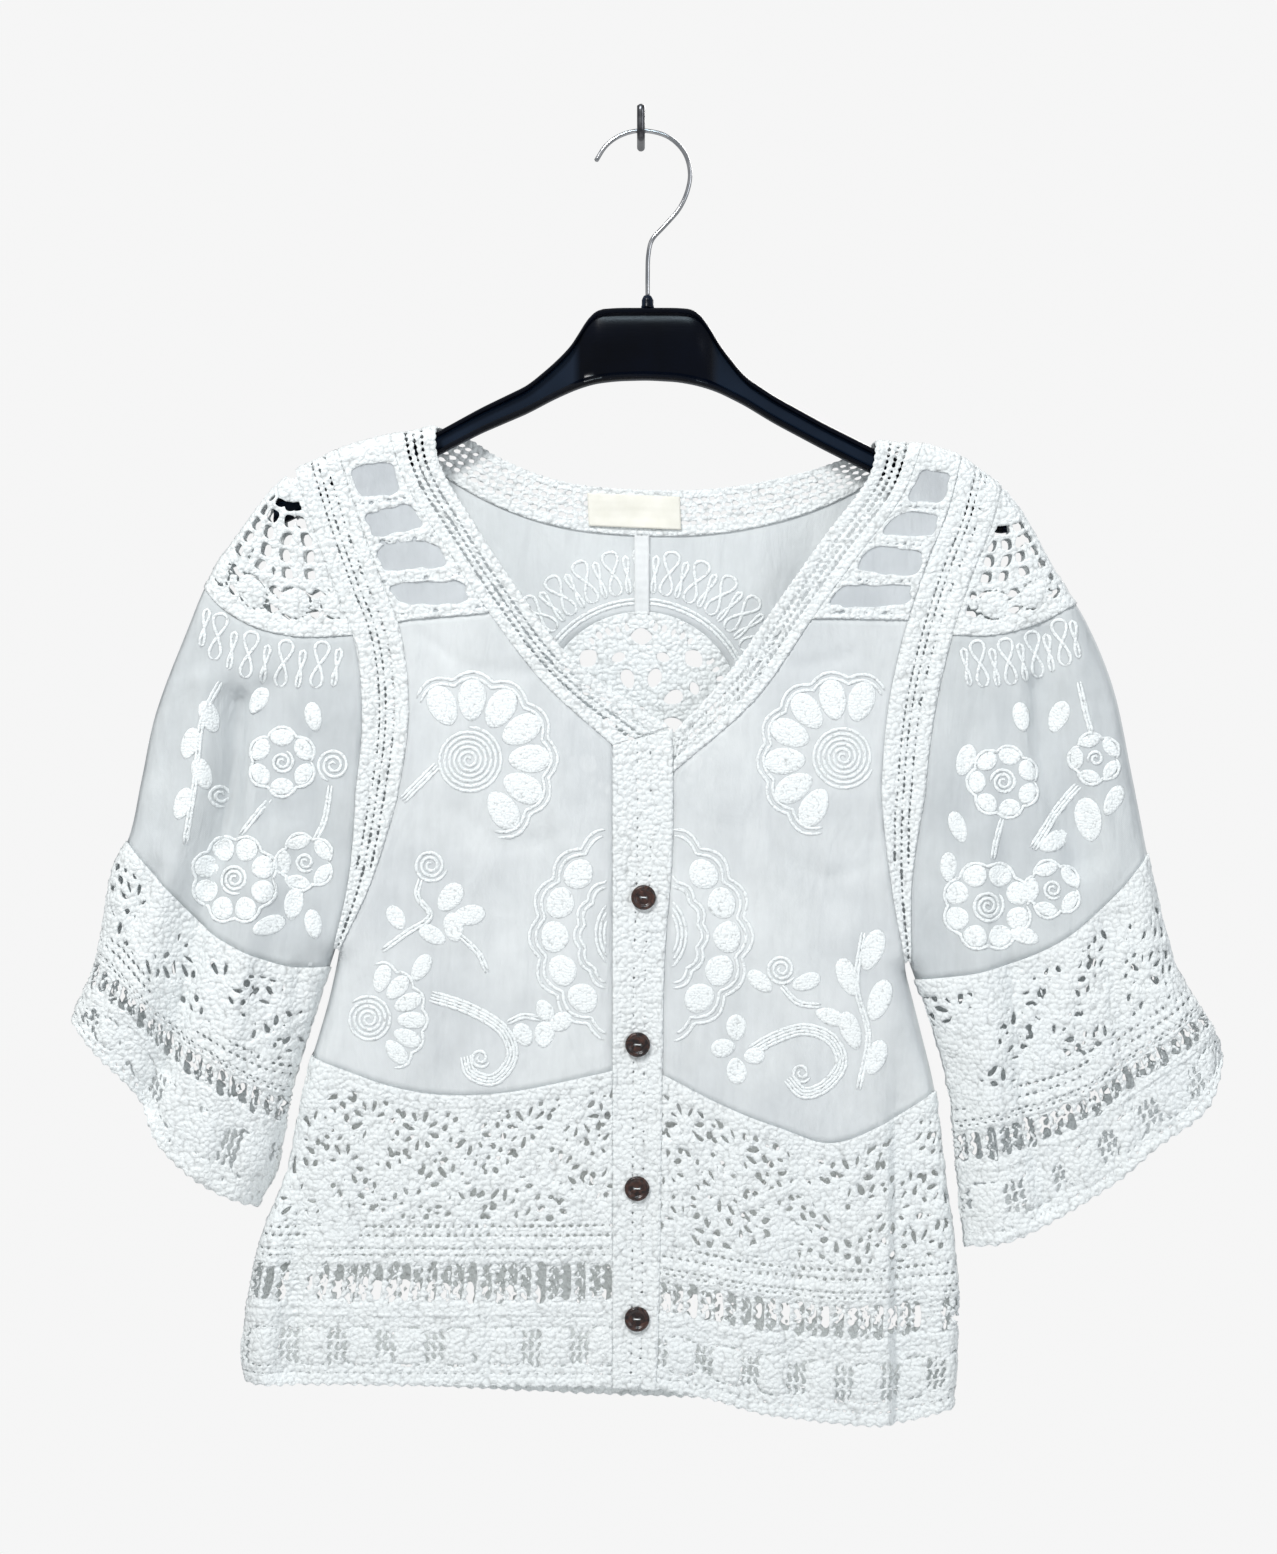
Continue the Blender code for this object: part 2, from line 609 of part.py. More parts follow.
def build_placket():
    left, right = smooth_curve(PLACKET["left"]), smooth_curve(PLACKET["right"])
    place = ruled(left, right)
    wall("placket_top", cotton(), place, "front", [0, 1], lines(0, 1, 20), "lrt")
    under = ruled(right - (UNDER["reach"], 0), right - (UNDER["set_back"], 0))
    wall("placket_under", cotton(), under, "front", [0, 1], lines(0.03, 0.995, 12), "lr",
         thick=UNDER["thick"], lift=-WALL - LAYER_GAP)


def build_flowers():
    """Thick corded flowers that lie on the sheer panels, made from the panels' own points."""
    for flower in FLOWERS:
        turn = [math.radians(flower["from_deg"]), math.radians(flower["to_deg"])]

        def place(u, v, flower=flower, turn=turn):
            angle = turn[0] + (turn[1] - turn[0]) * v
            swell = 0.9 + 0.1 * np.abs(np.sin(v * math.pi * flower["petals"]))
            reach = FLOWER_EYE + (flower["radius"] * swell - FLOWER_EYE) * u
            return np.stack([flower["x"] + reach * np.cos(angle),
                             flower["drop"] - reach * np.sin(angle)], axis=1)
        wall(flower["name"], cotton(), place, "front", [0, 0.5, 1], lines(0, 1, 2 * flower["petals"]),
             "", thick=APPLIQUE_THICK, lift=APPLIQUE_LIFT)
    for side, sign in (("left", -1), ("right", 1)):
        clear = BIG_FLOWER[f"clear_{side}"]
        limit = math.radians(BIG_FLOWER["half_deg"])

        def place(u, v, sign=sign, clear=clear, limit=limit):
            angle = limit * (2 * v - 1)
            swell = 0.9 + 0.1 * np.abs(np.sin(v * math.pi * BIG_FLOWER["petals"]))
            near = clear / np.cos(angle)
            reach = near + (BIG_FLOWER["radius"] * swell - near) * u
            return np.stack([BIG_FLOWER["x"] + sign * reach * np.cos(angle),
                             BIG_FLOWER["drop"] - reach * np.sin(angle)], axis=1)
        wall(f"applique_centre_{side}", cotton(), place, "front", [0, 0.5, 1],
             lines(0, 1, 2 * BIG_FLOWER["petals"]), "", thick=APPLIQUE_THICK, lift=APPLIQUE_LIFT)


def circle(start_deg, end_deg, radius, steps=40):
    angle = np.radians(np.linspace(start_deg, end_deg, steps))
    return np.stack([MEDALLION["x"] + radius * np.cos(angle),
                     MEDALLION["drop"] - radius * np.sin(angle)], axis=1)


def build_back():
    tape = smooth_curve(BACK_ROWS["tape"])
    low_neck = smooth_curve(BACK_NECK_LOW)
    for side, turn in (("left", 1), ("right", -1)):
        outer, _ = front_edges(side)
        neck = cut_curve(low_neck, BACK_SEAM["top"], low_neck[0 if side == "left" else -1])
        shoulder = cut_curve(OUT[side], neck[-1], outer[0])
        foot = tape[0] if side == "left" else tape[-1]
        flank = cut_curve(outer, outer[0], foot)
        row = cut_curve(tape, foot, BACK_SEAM["foot"])
        arc = circle(90, 90 + turn * 180, MEDALLION["radius"])
        parts = [neck, shoulder, flank, row]
        knots = np.linspace(0, 1, 401)
        rim = np.vstack([along(part, (knots[(knots >= a) & (knots < b)] - a) / (b - a))
                         for part, a, b in zip(parts, RIM_SHARES, RIM_SHARES[1:])] + [row[-1:]])
        hub = along(arc, knots)

        def place(u, v, hub=hub, rim=rim, knots=knots):
            grid = [np.interp(v, knots, column) for column in (hub[:, 0], hub[:, 1], rim[:, 0], rim[:, 1])]
            return np.stack([(1 - u) * grid[0] + u * grid[2], (1 - u) * grid[1] + u * grid[3]], axis=1)
        _, neck_end, shoulder_end, flank_end, _ = RIM_SHARES
        ends = [neck_end * (1 - reach / side_length(neck)) for reach in reversed(NECK_END)]
        rows = lines(0, ends[0], 10) + ends[1:] + lines(neck_end, shoulder_end, 2)
        rows += lines(shoulder_end, flank_end, 26)[1:] + lines(flank_end, 1, 6)[1:]
        wall(f"back_voile_{side}", voile(), place, "back", BACK_COLUMNS, rows)

    def medallion(u, v):
        angle = 2 * math.pi * u
        reach = np.interp(v, np.linspace(0, 1, len(RINGS)), RINGS)
        return np.stack([MEDALLION["x"] + reach * np.cos(angle),
                         MEDALLION["drop"] - reach * np.sin(angle)], axis=1)
    sectors = 2 * MEDALLION["petals"]
    turns = list(np.arange(sectors) / sectors)
    wall("back_medallion", cotton(), medallion, "back", turns, list(np.linspace(0, 1, len(RINGS))), "",
         holes_at(range(0, sectors, 2), [1]) + holes_at(range(1, sectors, 2), [3]), loop=True)
    left_edge, right_edge = front_edges("left")[0], front_edges("right")[0]
    order = ["tape", "lace", "ladder", "hem"]
    lace = stack([panel(BACK_ROWS[a], BACK_ROWS[b], left_edge, right_edge)
                  for a, b in zip(order, order[1:])])
    us, cells = gap_lines(edge_lines(PANELS["back"]), PANELS["back"]["gaps"], GAP_SHARE, NARROW)
    wall("back_lace", cotton(), lace, "back", us, LACE_ROWS, "t", lace_holes(cells))


def build_sleeve(side):
    """A sleeve is a flat tube: each zone has a front and a back piece that meet at the folds."""
    rows = SLEEVE_ROWS[side]
    inner = sleeve_edges(side)
    outer = OUT[side]
    order = ["voile", "lace", "ladder", "hem"]
    across = lines(0, 0.76, 7) + SLEEVE_LINES[-4:]
    us, cells = gap_lines(SLEEVE_LINES[3:10], 1, GAP_SHARE, NARROW)
    us = SLEEVE_LINES[:3] + us + SLEEVE_LINES[10:]
    cells = [cell + 3 for cell in cells]
    for face in ("front", "back"):
        cap = panel(rows["shoulder"], rows["cap"], inner, outer)
        wall(f"sleeve_cap_{face}_{side}", cotton(), cap, face, across, CAP_ROWS, "ltb",
             holes_at([1, 3, 5], [2, 4]))
        body = panel(rows["cap"], rows["voile"], inner, outer)
        wall(f"sleeve_voile_{face}_{side}", voile(), body, face, SLEEVE_LINES, lines(0, 1, 8), "ltb")
        lace = stack([panel(rows[a], rows[b], inner, outer) for a, b in zip(order, order[1:])])
        wall(f"sleeve_lace_{face}_{side}", cotton(), lace, face, us, SLEEVE_LACE_ROWS, "t",
             holes_at(cells, [2]), knots=SLEEVE_LINES)


def build_label():
    turn = math.radians(LABEL["tilt_deg"])

    def place(u, v):
        x, down = (u - 0.5) * LABEL["width"], (v - 0.5) * LABEL["height"]
        return np.stack([LABEL["x"] + x * math.cos(turn) - down * math.sin(turn),
                         LABEL["drop"] - x * math.sin(turn) + down * math.cos(turn)], axis=1)
    wall("neck_label", material("label", 0.7), place, "back", lines(0, 1, 4), lines(0, 1, 2), "",
         thick=LABEL["thick"], lift=-WALL - LAYER_GAP)


def turned(name, finish, profile, centre, axis, steps):
    """A solid turned round an axis; the profile has rows of (radius, height)."""
    angle = 2 * math.pi * np.arange(steps) / steps
    rings = []
    for radius, height in profile:
        flat = np.stack([radius * np.cos(angle), radius * np.sin(angle), np.full(steps, height)], axis=1)
        rings.append(flat if axis == "z" else flat[:, [0, 2, 1]] * (1, -1, 1))
    vertices = np.vstack(rings) + np.array(centre)
    faces = [tuple(range(steps))]
    for k in range(len(profile) - 1):
        for i in range(steps):
            j = (i + 1) % steps
            a, b = k * steps, (k + 1) * steps
            faces.append((a + j, a + i, b + i, b + j))
    faces.append(tuple(reversed([(len(profile) - 1) * steps + i for i in range(steps)])))
    return add_mesh(name, vertices, faces, finish)


def build_buttons():
    for number, (x, drop) in enumerate(BUTTONS, 1):
        seat, _ = cloth_point(np.array([[x, float(drop)]]), "front")
        base = seat[0, 1] - BUTTON_GAP
        profile = [(BUTTON_RADIUS - 0.8, 0), (BUTTON_RADIUS, 1.4),
                   (BUTTON_RADIUS - 0.8, BUTTON_THICK), (BUTTON_RADIUS - 2.4, BUTTON_THICK),
                   (BUTTON_RADIUS - 3.2, BUTTON_THICK - 0.7)]
        turned(f"button_{number}", material("button", 0.35), profile, (x, base, -drop), "y", 14)


# hanger stations from its left end to its right: x, top drop, foot drop, half thickness, half web
HANGER = [
    (-221, 219.5, 231, 2.6, 1.2), (-218, 217, 234, 4.2, 1.5), (-197, 208, 224, 4.6, 1.6),
    (-160, 192.5, 208, 4.8, 1.6), (-127, 180, 194, 4.8, 1.6), (-96, 163, 178, 5.4, 1.6),
    (-68, 149.5, 166, 5.8, 1.7), (-53, 137, 158, 6, 1.8), (-41, 125, 152.5, 6.2, 2),
    (-34, 112, 150, 6.4, 4.6), (-27, 104, 148, 6.4, 4.8), (-14, 103, 146.5, 6.5, 5),
    (4, 103, 146, 6.5, 5), (22, 103, 147, 6.5, 5), (33, 104, 149, 6.4, 4.8), (40, 112, 151, 6.4, 4.6),
    (47, 125, 153.5, 6.2, 2), (62, 144, 161, 6, 1.8), (80, 156, 172, 5.6, 1.7),
    (110, 172.5, 188, 5.2, 1.6), (142, 188.5, 204, 5, 1.6), (175, 202.5, 218, 4.8, 1.6),
    (205, 216, 233, 4.6, 1.6), (217, 223.5, 240, 4.2, 1.5), (220, 226, 237, 2.6, 1.2),
]
# the rims beside the recessed web: their height, the slope down to the web, the rounding at the edges
RIM = 3.4
RIM_SLOPE = 0.8
RIM_ROUND = 0.6
COLLAR = {"x": 4.0, "drop": 102.7, "profile": [(3.0, 0), (3.5, 0.8), (3.5, 5.0), (2.4, 7.2)]}


def build_hanger():
    plastic = material("plastic", 0.3)
    rings = []
    for x, top, foot, half, web in HANGER:
        rim = min(RIM, (foot - top) * 0.22)
        side = [(half - RIM_ROUND, top), (half, top + rim), (web, top + rim + RIM_SLOPE),
                (web, foot - rim - RIM_SLOPE), (half, foot - rim), (half - RIM_ROUND, foot)]
        loop = side + [(-y, drop) for y, drop in reversed(side)]
        rings.append([(x, HANGER_Y + y, -drop) for y, drop in loop])
    count = len(rings[0])
    vertices = np.array(rings).reshape(-1, 3)
    faces = [tuple(range(count)), tuple(reversed(range((len(rings) - 1) * count, len(rings) * count)))]
    for k in range(len(rings) - 1):
        for i in range(count):
            j = (i + 1) % count
            faces.append((k * count + j, k * count + i, (k + 1) * count + i, (k + 1) * count + j))
    add_mesh("hanger_body", vertices, faces, plastic)
    turned("hanger_collar", plastic, COLLAR["profile"], (COLLAR["x"], HANGER_Y, -COLLAR["drop"]), "z", 12)


def tube(name, finish, points, radius, resolution):
    """A bent rod with flat ends, through points in mm."""
    data = bpy.data.curves.new(name, "CURVE")
    data.dimensions = "3D"
    data.bevel_depth = radius * MM
    data.bevel_resolution = resolution
    data.use_fill_caps = True
    spline = data.splines.new("POLY")
    spline.points.add(len(points) - 1)
    for slot, point in zip(spline.points, points):
        slot.co = (*[float(c) * MM for c in point], 1.0)
    data.materials.append(finish)
    item = bpy.data.objects.new(name, data)
    bpy.context.scene.collection.objects.link(item)
    return item


HOOK_LINE = [(-27, 14), (-21, 5), (-12, -1.3), (0.3, -4.05), (16, -0.5), (26, 9), (29.5, 21),
             (28, 32), (23, 43), (14, 53.5), (6.5, 62), (4.4, 71), (4, 82), (4, 95.2)]
PRONG_Y = HANGER_Y - 5.6
PRONG_TOP = 18.0
BEND = 4.0


def build_hooks():
    chrome = material("chrome", 0.2, 1.0)
    line = smooth_curve(HOOK_LINE, 2)
    tube("hanger_hook", chrome, [(x, HANGER_Y, -drop) for x, drop in line], WIRE_RADIUS, 1)
    route = [(0, 0, 0), (0, -8, 0), (0, -16, 0), (0, -24, 0), (0, PRONG_Y + BEND, 0)]
    for step in range(1, 6):
        angle = math.radians(90) * step / 5
        route.append((0, PRONG_Y + BEND - BEND * math.sin(angle), BEND - BEND * math.cos(angle)))
    route += [(0, PRONG_Y, BEND + 6), (0, PRONG_Y, PRONG_TOP)]
    tube("wall_hook", chrome, route, SHANK_RADIUS, 2)


def main():
    clear_scene()
    build_hanger()
    build_hooks()
    build_neckbands()
    build_armholes()
    for side in ("left", "right"):
        build_front(side)
        build_sleeve(side)
    build_placket()
    build_flowers()
    build_back()
    build_label()
    build_buttons()


main()
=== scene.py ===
"""Looks of an openwork cotton blouse on a moulded hanger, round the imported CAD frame.

Tables give places in millimetres as (x, drop): x to the right of the origin, drop below it.
"""
import math

import bpy
import numpy as np
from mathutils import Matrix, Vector


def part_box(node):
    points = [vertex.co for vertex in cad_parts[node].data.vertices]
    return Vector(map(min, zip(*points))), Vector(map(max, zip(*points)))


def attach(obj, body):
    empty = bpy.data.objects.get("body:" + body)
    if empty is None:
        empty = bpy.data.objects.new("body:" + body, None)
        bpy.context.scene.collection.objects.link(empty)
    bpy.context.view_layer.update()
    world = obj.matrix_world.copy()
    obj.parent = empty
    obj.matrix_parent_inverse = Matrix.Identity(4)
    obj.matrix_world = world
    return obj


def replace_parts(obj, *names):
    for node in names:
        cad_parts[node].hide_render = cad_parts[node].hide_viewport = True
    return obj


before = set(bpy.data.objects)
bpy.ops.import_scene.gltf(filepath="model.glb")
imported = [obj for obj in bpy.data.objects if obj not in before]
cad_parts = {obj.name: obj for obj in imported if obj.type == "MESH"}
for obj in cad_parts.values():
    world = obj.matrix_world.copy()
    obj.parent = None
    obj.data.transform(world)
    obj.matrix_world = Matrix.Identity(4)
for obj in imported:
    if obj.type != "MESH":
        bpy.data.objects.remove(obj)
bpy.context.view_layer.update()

MM = 0.001
HANGER_Y = -36.0
FOLD_GAP = 0.3
HALF_DEPTH = 11.0
HEM_EXTRA_DEPTH = 3.0
CUFF_EXTRA_DEPTH = 9.0
EDGE_RADIUS = 9.0
EDGE_RADIUS_LOW = 5.0
EDGE_RADIUS_SLEEVE = 12.0
BODY_MIDDLE = -12.0
SLEEVE_START = 180.0
SLEEVE_FULL = 225.0
CROCHET_THICK = 1.5
VOILE_THICK = 0.45
UNDER_LIFT = -2.2
SOLID = 5.0
CLEAR = 9.0

OUTLINE = {
    "left": [(-123, 173.5), (-163, 182), (-197, 194), (-219, 209), (-241, 237), (-259, 264),
             (-274, 299), (-292, 347), (-301, 389), (-308, 421), (-317, 438), (-328, 495), (-343, 531)],
    "right": [(141, 182.5), (171, 185), (203, 198), (226, 221), (248, 259), (268, 292), (284, 331),
              (296, 387), (307, 442), (323, 501), (345, 537), (350, 553)],
}
SLEEVE_INNER = {
    "left": [(-185, 492), (-193, 517), (-209, 569), (-219, 619), (-231, 644)],
    "right": [(163, 501), (176, 537), (185, 571), (190, 622), (195, 668)],
}
BODY_SIDE = {
    "left": [(-182, 493), (-188, 520), (-202, 569), (-213, 623), (-226, 655), (-235, 690), (-240, 737),
             (-237, 749)],
    "right": [(158.5, 500), (168, 537), (177, 575), (183, 627), (188, 662), (191, 700), (188, 765)],
}
ARMHOLE = {
    "left": [(-199, 180, 14), (-181, 238, 14), (-169, 271, 14), (-158, 300, 14), (-153, 345, 14),
             (-158.5, 396, 12.5), (-169, 449, 6.5), (-182.5, 488, 1.8)],
    "right": [(208, 186, 14), (197, 230, 14), (185, 260, 14), (172, 300, 14), (162, 345, 14),
              (157, 396, 13), (156, 449, 6), (160, 496, 1.8)],
}
NECK_INNER = {
    "left": [(-123, 173.5), (-121, 195), (-97, 237), (-73, 273), (-40, 315), (18, 355)],
    "right": [(141, 182.5), (137, 203), (110, 240), (83, 278), (50, 325), (20.5, 357)],
}
NECK_OUTER = {
    "left": [(-151, 179), (-141, 209), (-116, 249), (-92, 285), (-58, 329), (-17, 366)],
    "right": [(169, 184.8), (157, 216), (129, 254), (102, 291), (69, 338), (19.3, 382)],
}
BACK_NECK_TOP = [(-123, 173.5), (-103, 181), (-85, 192), (-48, 206), (0, 211), (48, 210), (96, 201),
                 (131, 189), (141, 182.5)]
BACK_NECK_LOW = [(-151, 179), (-118, 204), (-85, 222), (-48, 234), (0, 239), (48, 237.5), (96, 227),
                 (135, 209.5), (169, 184.8)]
PLACKET = {
    "left": [(-17, 366), (-17, 751)],
    "right": [(19, 356), (19, 426), (14, 497), (13, 560), (11, 700), (9, 752)],
}
FRONT_ROWS = {
    "left": {
        "yoke": [(-142, 291), (-92, 287)],
        "tape": [(-200, 552), (-176, 561), (-150, 570), (-122, 575), (-82, 574), (-17, 561)],
        "lace": [(-229, 664), (-140, 664), (-17, 664)],
        "ladder": [(-238, 706), (-140, 708), (-17, 707)],
        "hem": [(-237, 749), (-140, 750), (-17, 751)],
    },
    "right": {
        "yoke": [(102, 290), (160, 291)],
        "tape": [(13, 563), (52, 583), (83, 595), (113, 604), (145, 593), (177, 574)],
        "lace": [(12, 676), (67, 686), (128, 691), (190, 687)],
        "ladder": [(11, 712), (67, 722), (128, 729), (190, 723)],
        "hem": [(9, 752), (43, 759), (67, 766), (98, 771), (151, 774), (188, 765)],
    },
}
BACK_ROWS = {
    "tape": [(-200, 552), (-110, 580), (-12, 590), (90, 588), (177, 574)],
    "lace": [(-229, 664), (-12, 676), (190, 687)],
    "ladder": [(-238, 706), (-12, 715), (190, 723)],
    "hem": [(-237, 749), (-12, 760), (188, 765)],
}
SLEEVE_ROWS = {
    "left": {
        "shoulder": [(-209.2, 207), (-213, 204.4)],
        "cap": [(-172, 300), (-205, 301), (-232, 295), (-252, 283), (-262.4, 271)],
        "voile": [(-187, 499), (-212, 498), (-256, 479), (-283, 452), (-308.5, 424)],
        "lace": [(-209, 569), (-224, 565), (-253, 549), (-281, 531), (-307, 503), (-327.5, 486)],
        "ladder": [(-213.5, 598), (-224, 593), (-253, 577), (-281, 560), (-307, 531), (-336, 514)],
        "hem": [(-231, 644), (-259, 631), (-288, 606), (-302, 576), (-327, 550), (-343, 531)],
    },
    "right": {
        "shoulder": [(216.8, 212), (219, 213.4)],
        "cap": [(186, 300), (212, 300), (238, 293), (261.3, 281)],
        "voile": [(165, 507), (205, 501), (251, 483), (287, 452), (305, 431)],
        "lace": [(187, 590), (204, 586), (261, 569), (296, 546), (320, 530), (334, 519)],
        "ladder": [(190.3, 622), (217, 618), (263, 598), (303, 568), (325, 554), (345, 537)],
        "hem": [(195, 668), (223, 662), (283, 628), (308, 607), (338, 584), (350, 553)],
    },
}
FOLDS = [
    {"line": [(-244, 339), (-248, 399), (-265, 454), (-283, 538), (-295, 580)], "deep": 7.5, "half": 10},
    {"line": [(238, 300), (248, 359), (258, 395), (268, 432)], "deep": 5.5, "half": 9},
    {"line": [(-208, 600), (-212, 660), (-214, 740)], "deep": 5.0, "half": 7},
]
BACK_FOLD_SHARE = 0.45
STEP = {"x": 148.0, "run": 6.0, "share": 0.5, "drop_start": 520.0, "drop_full": 590.0}
MEDALLION = {"x": 0.0, "drop": 345.0, "radius": 60.0, "petals": 8}
BACK_SEAM = {"top": (0.0, 239.0), "foot": (-12.0, 590.0)}
BUTTONS = [(1.5, 457), (-2, 545), (-2.4, 631), (-2.4, 709)]
LABEL = {"x": -4.0, "drop": 224.5, "width": 56.0, "height": 20.0, "tilt_deg": -2.5}


# curves and patches

def smooth_curve(points, steps=12):
    p = np.array(points, float)
    if len(p) == 2:
        share = np.linspace(0, 1, steps + 1)[:, None]
        return p[0] * (1 - share) + p[1] * share
    padded = np.vstack([2 * p[0] - p[1], p, 2 * p[-1] - p[-2]])
    rows = []
    for k in range(1, len(padded) - 2):
        a, b, c, d = padded[k - 1:k + 3]
        gap = [max(np.linalg.norm(q - r) ** 0.5, 1e-6) for q, r in ((b, a), (c, b), (d, c))]
        slope_b = (b - a) / gap[0] - (c - a) / (gap[0] + gap[1]) + (c - b) / gap[1]
        slope_c = (c - b) / gap[1] - (d - b) / (gap[1] + gap[2]) + (d - c) / gap[2]
        slope_b, slope_c = slope_b * gap[1], slope_c * gap[1]
        t = np.linspace(0, 1, steps, endpoint=False)[:, None]
        rows.append((2 * t**3 - 3 * t**2 + 1) * b + (t**3 - 2 * t**2 + t) * slope_b
                    + (3 * t**2 - 2 * t**3) * c + (t**3 - t**2) * slope_c)
    rows.append(p[-1:])
    return np.vstack(rows)


def run_of(curve):
    return np.concatenate([[0], np.cumsum(np.linalg.norm(np.diff(curve, axis=0), axis=1))])


def along(curve, share):
    run = run_of(curve)
    at = np.clip(np.asarray(share, float), 0, 1) * run[-1]
    return np.stack([np.interp(at, run, curve[:, 0]), np.interp(at, run, curve[:, 1])], axis=-1)


def cut_curve(curve, start, end):
    run = run_of(curve)
    fine = np.linspace(0, 1, 1200)
    dense = along(curve, fine)
    first = fine[np.argmin(np.linalg.norm(dense - np.array(start), axis=1))]
    last = fine[np.argmin(np.linalg.norm(dense - np.array(end), axis=1))]
    return along(curve, np.linspace(first, last, max(4, int(abs(last - first) * run[-1] / 3))))


def band_edges(rows):
    """Both edges of a band from its centre line's points and half widths."""
    rows = np.array(rows, float)
    centre = smooth_curve(rows[:, :2])
    halves = np.interp(centre[:, 1], rows[:, 1], rows[:, 2])
    slope = np.gradient(centre, axis=0)
    across = np.stack([slope[:, 1], -slope[:, 0]], axis=1)
    across /= np.linalg.norm(across, axis=1)[:, None]
    return centre + across * halves[:, None], centre - across * halves[:, None]


def inside(curve, outline):
    dense = along(curve, np.linspace(0, 1, 600))
    order = np.argsort(outline[:, 0])
    limit = np.interp(dense[:, 0], outline[order, 0], outline[order, 1])
    first = int(np.argmax(dense[:, 1] >= limit))
    kept = dense[first:].copy()
    kept[0, 1] = limit[first]
    return kept


OUT = {side: smooth_curve(OUTLINE[side]) for side in OUTLINE}
IN_SLEEVE = {side: smooth_curve(SLEEVE_INNER[side]) for side in SLEEVE_INNER}
IN_BODY = {side: smooth_curve(BODY_SIDE[side]) for side in BODY_SIDE}
ARM = {side: [inside(edge, OUT[side]) for edge in band_edges(ARMHOLE[side])] for side in ARMHOLE}
EDGES = [OUT["left"][::-1], OUT["right"], IN_SLEEVE["left"], IN_SLEEVE["right"][::-1],
         IN_BODY["left"][::-1], IN_BODY["right"]]
SEGMENT_START = np.vstack([line[:-1] for line in EDGES])
SEGMENT_END = np.vstack([line[1:] for line in EDGES])


def to_nearest_edge(points):
    """Distance to the nearest closed edge of the cloth, and the direction away from it."""
    run = SEGMENT_END - SEGMENT_START
    rel = points[:, None, :] - SEGMENT_START[None]
    share = np.clip((rel * run).sum(-1) / (run**2).sum(-1), 0, 1)
    away = rel - share[..., None] * run
    gap = np.sqrt((away**2).sum(-1))
    best = np.argmin(gap, axis=1)
    picked = np.arange(len(points))
    distance = gap[picked, best]
    inward = np.stack([-run[best, 1], run[best, 0]], axis=1)
    inward /= np.linalg.norm(inward, axis=1)[:, None]
    direction = np.where(distance[:, None] > 0.3, away[picked, best] / np.maximum(distance, 1e-9)[:, None],
                         inward)
    return distance, direction


def ramp(value, start, end):
    t = np.clip((value - start) / (end - start), 0, 1)
    return t * t * (3 - 2 * t)


def line_distance(points, line):
    curve = smooth_curve(line, 6)
    start, run = curve[:-1], np.diff(curve, axis=0)
    rel = points[:, None, :] - start[None]
    share = np.clip((rel * run).sum(-1) / (run**2).sum(-1), 0, 1)
    return np.sqrt(((rel - share[..., None] * run)**2).sum(-1)).min(axis=1)


def free_depth(points, face):
    x, drop = points[:, 0], points[:, 1]
    sleeve = ramp(np.abs(x - BODY_MIDDLE), SLEEVE_START, SLEEVE_FULL)
    depth = (HALF_DEPTH + HEM_EXTRA_DEPTH * ramp(drop, 250, 700)
             + CUFF_EXTRA_DEPTH * ramp(drop, 330, 560) * sleeve)
    share = 1.0 if face == "front" else BACK_FOLD_SHARE
    for fold in FOLDS:
        trough = np.exp(-(line_distance(points, fold["line"]) / fold["half"])**2)
        depth = depth - share * fold["deep"] * trough
    if face == "front":
        step = ramp(x, STEP["x"], STEP["x"] + STEP["run"]) * (1 - sleeve)
        depth = depth * (1 - STEP["share"] * step * ramp(drop, STEP["drop_start"], STEP["drop_full"]))
    return depth


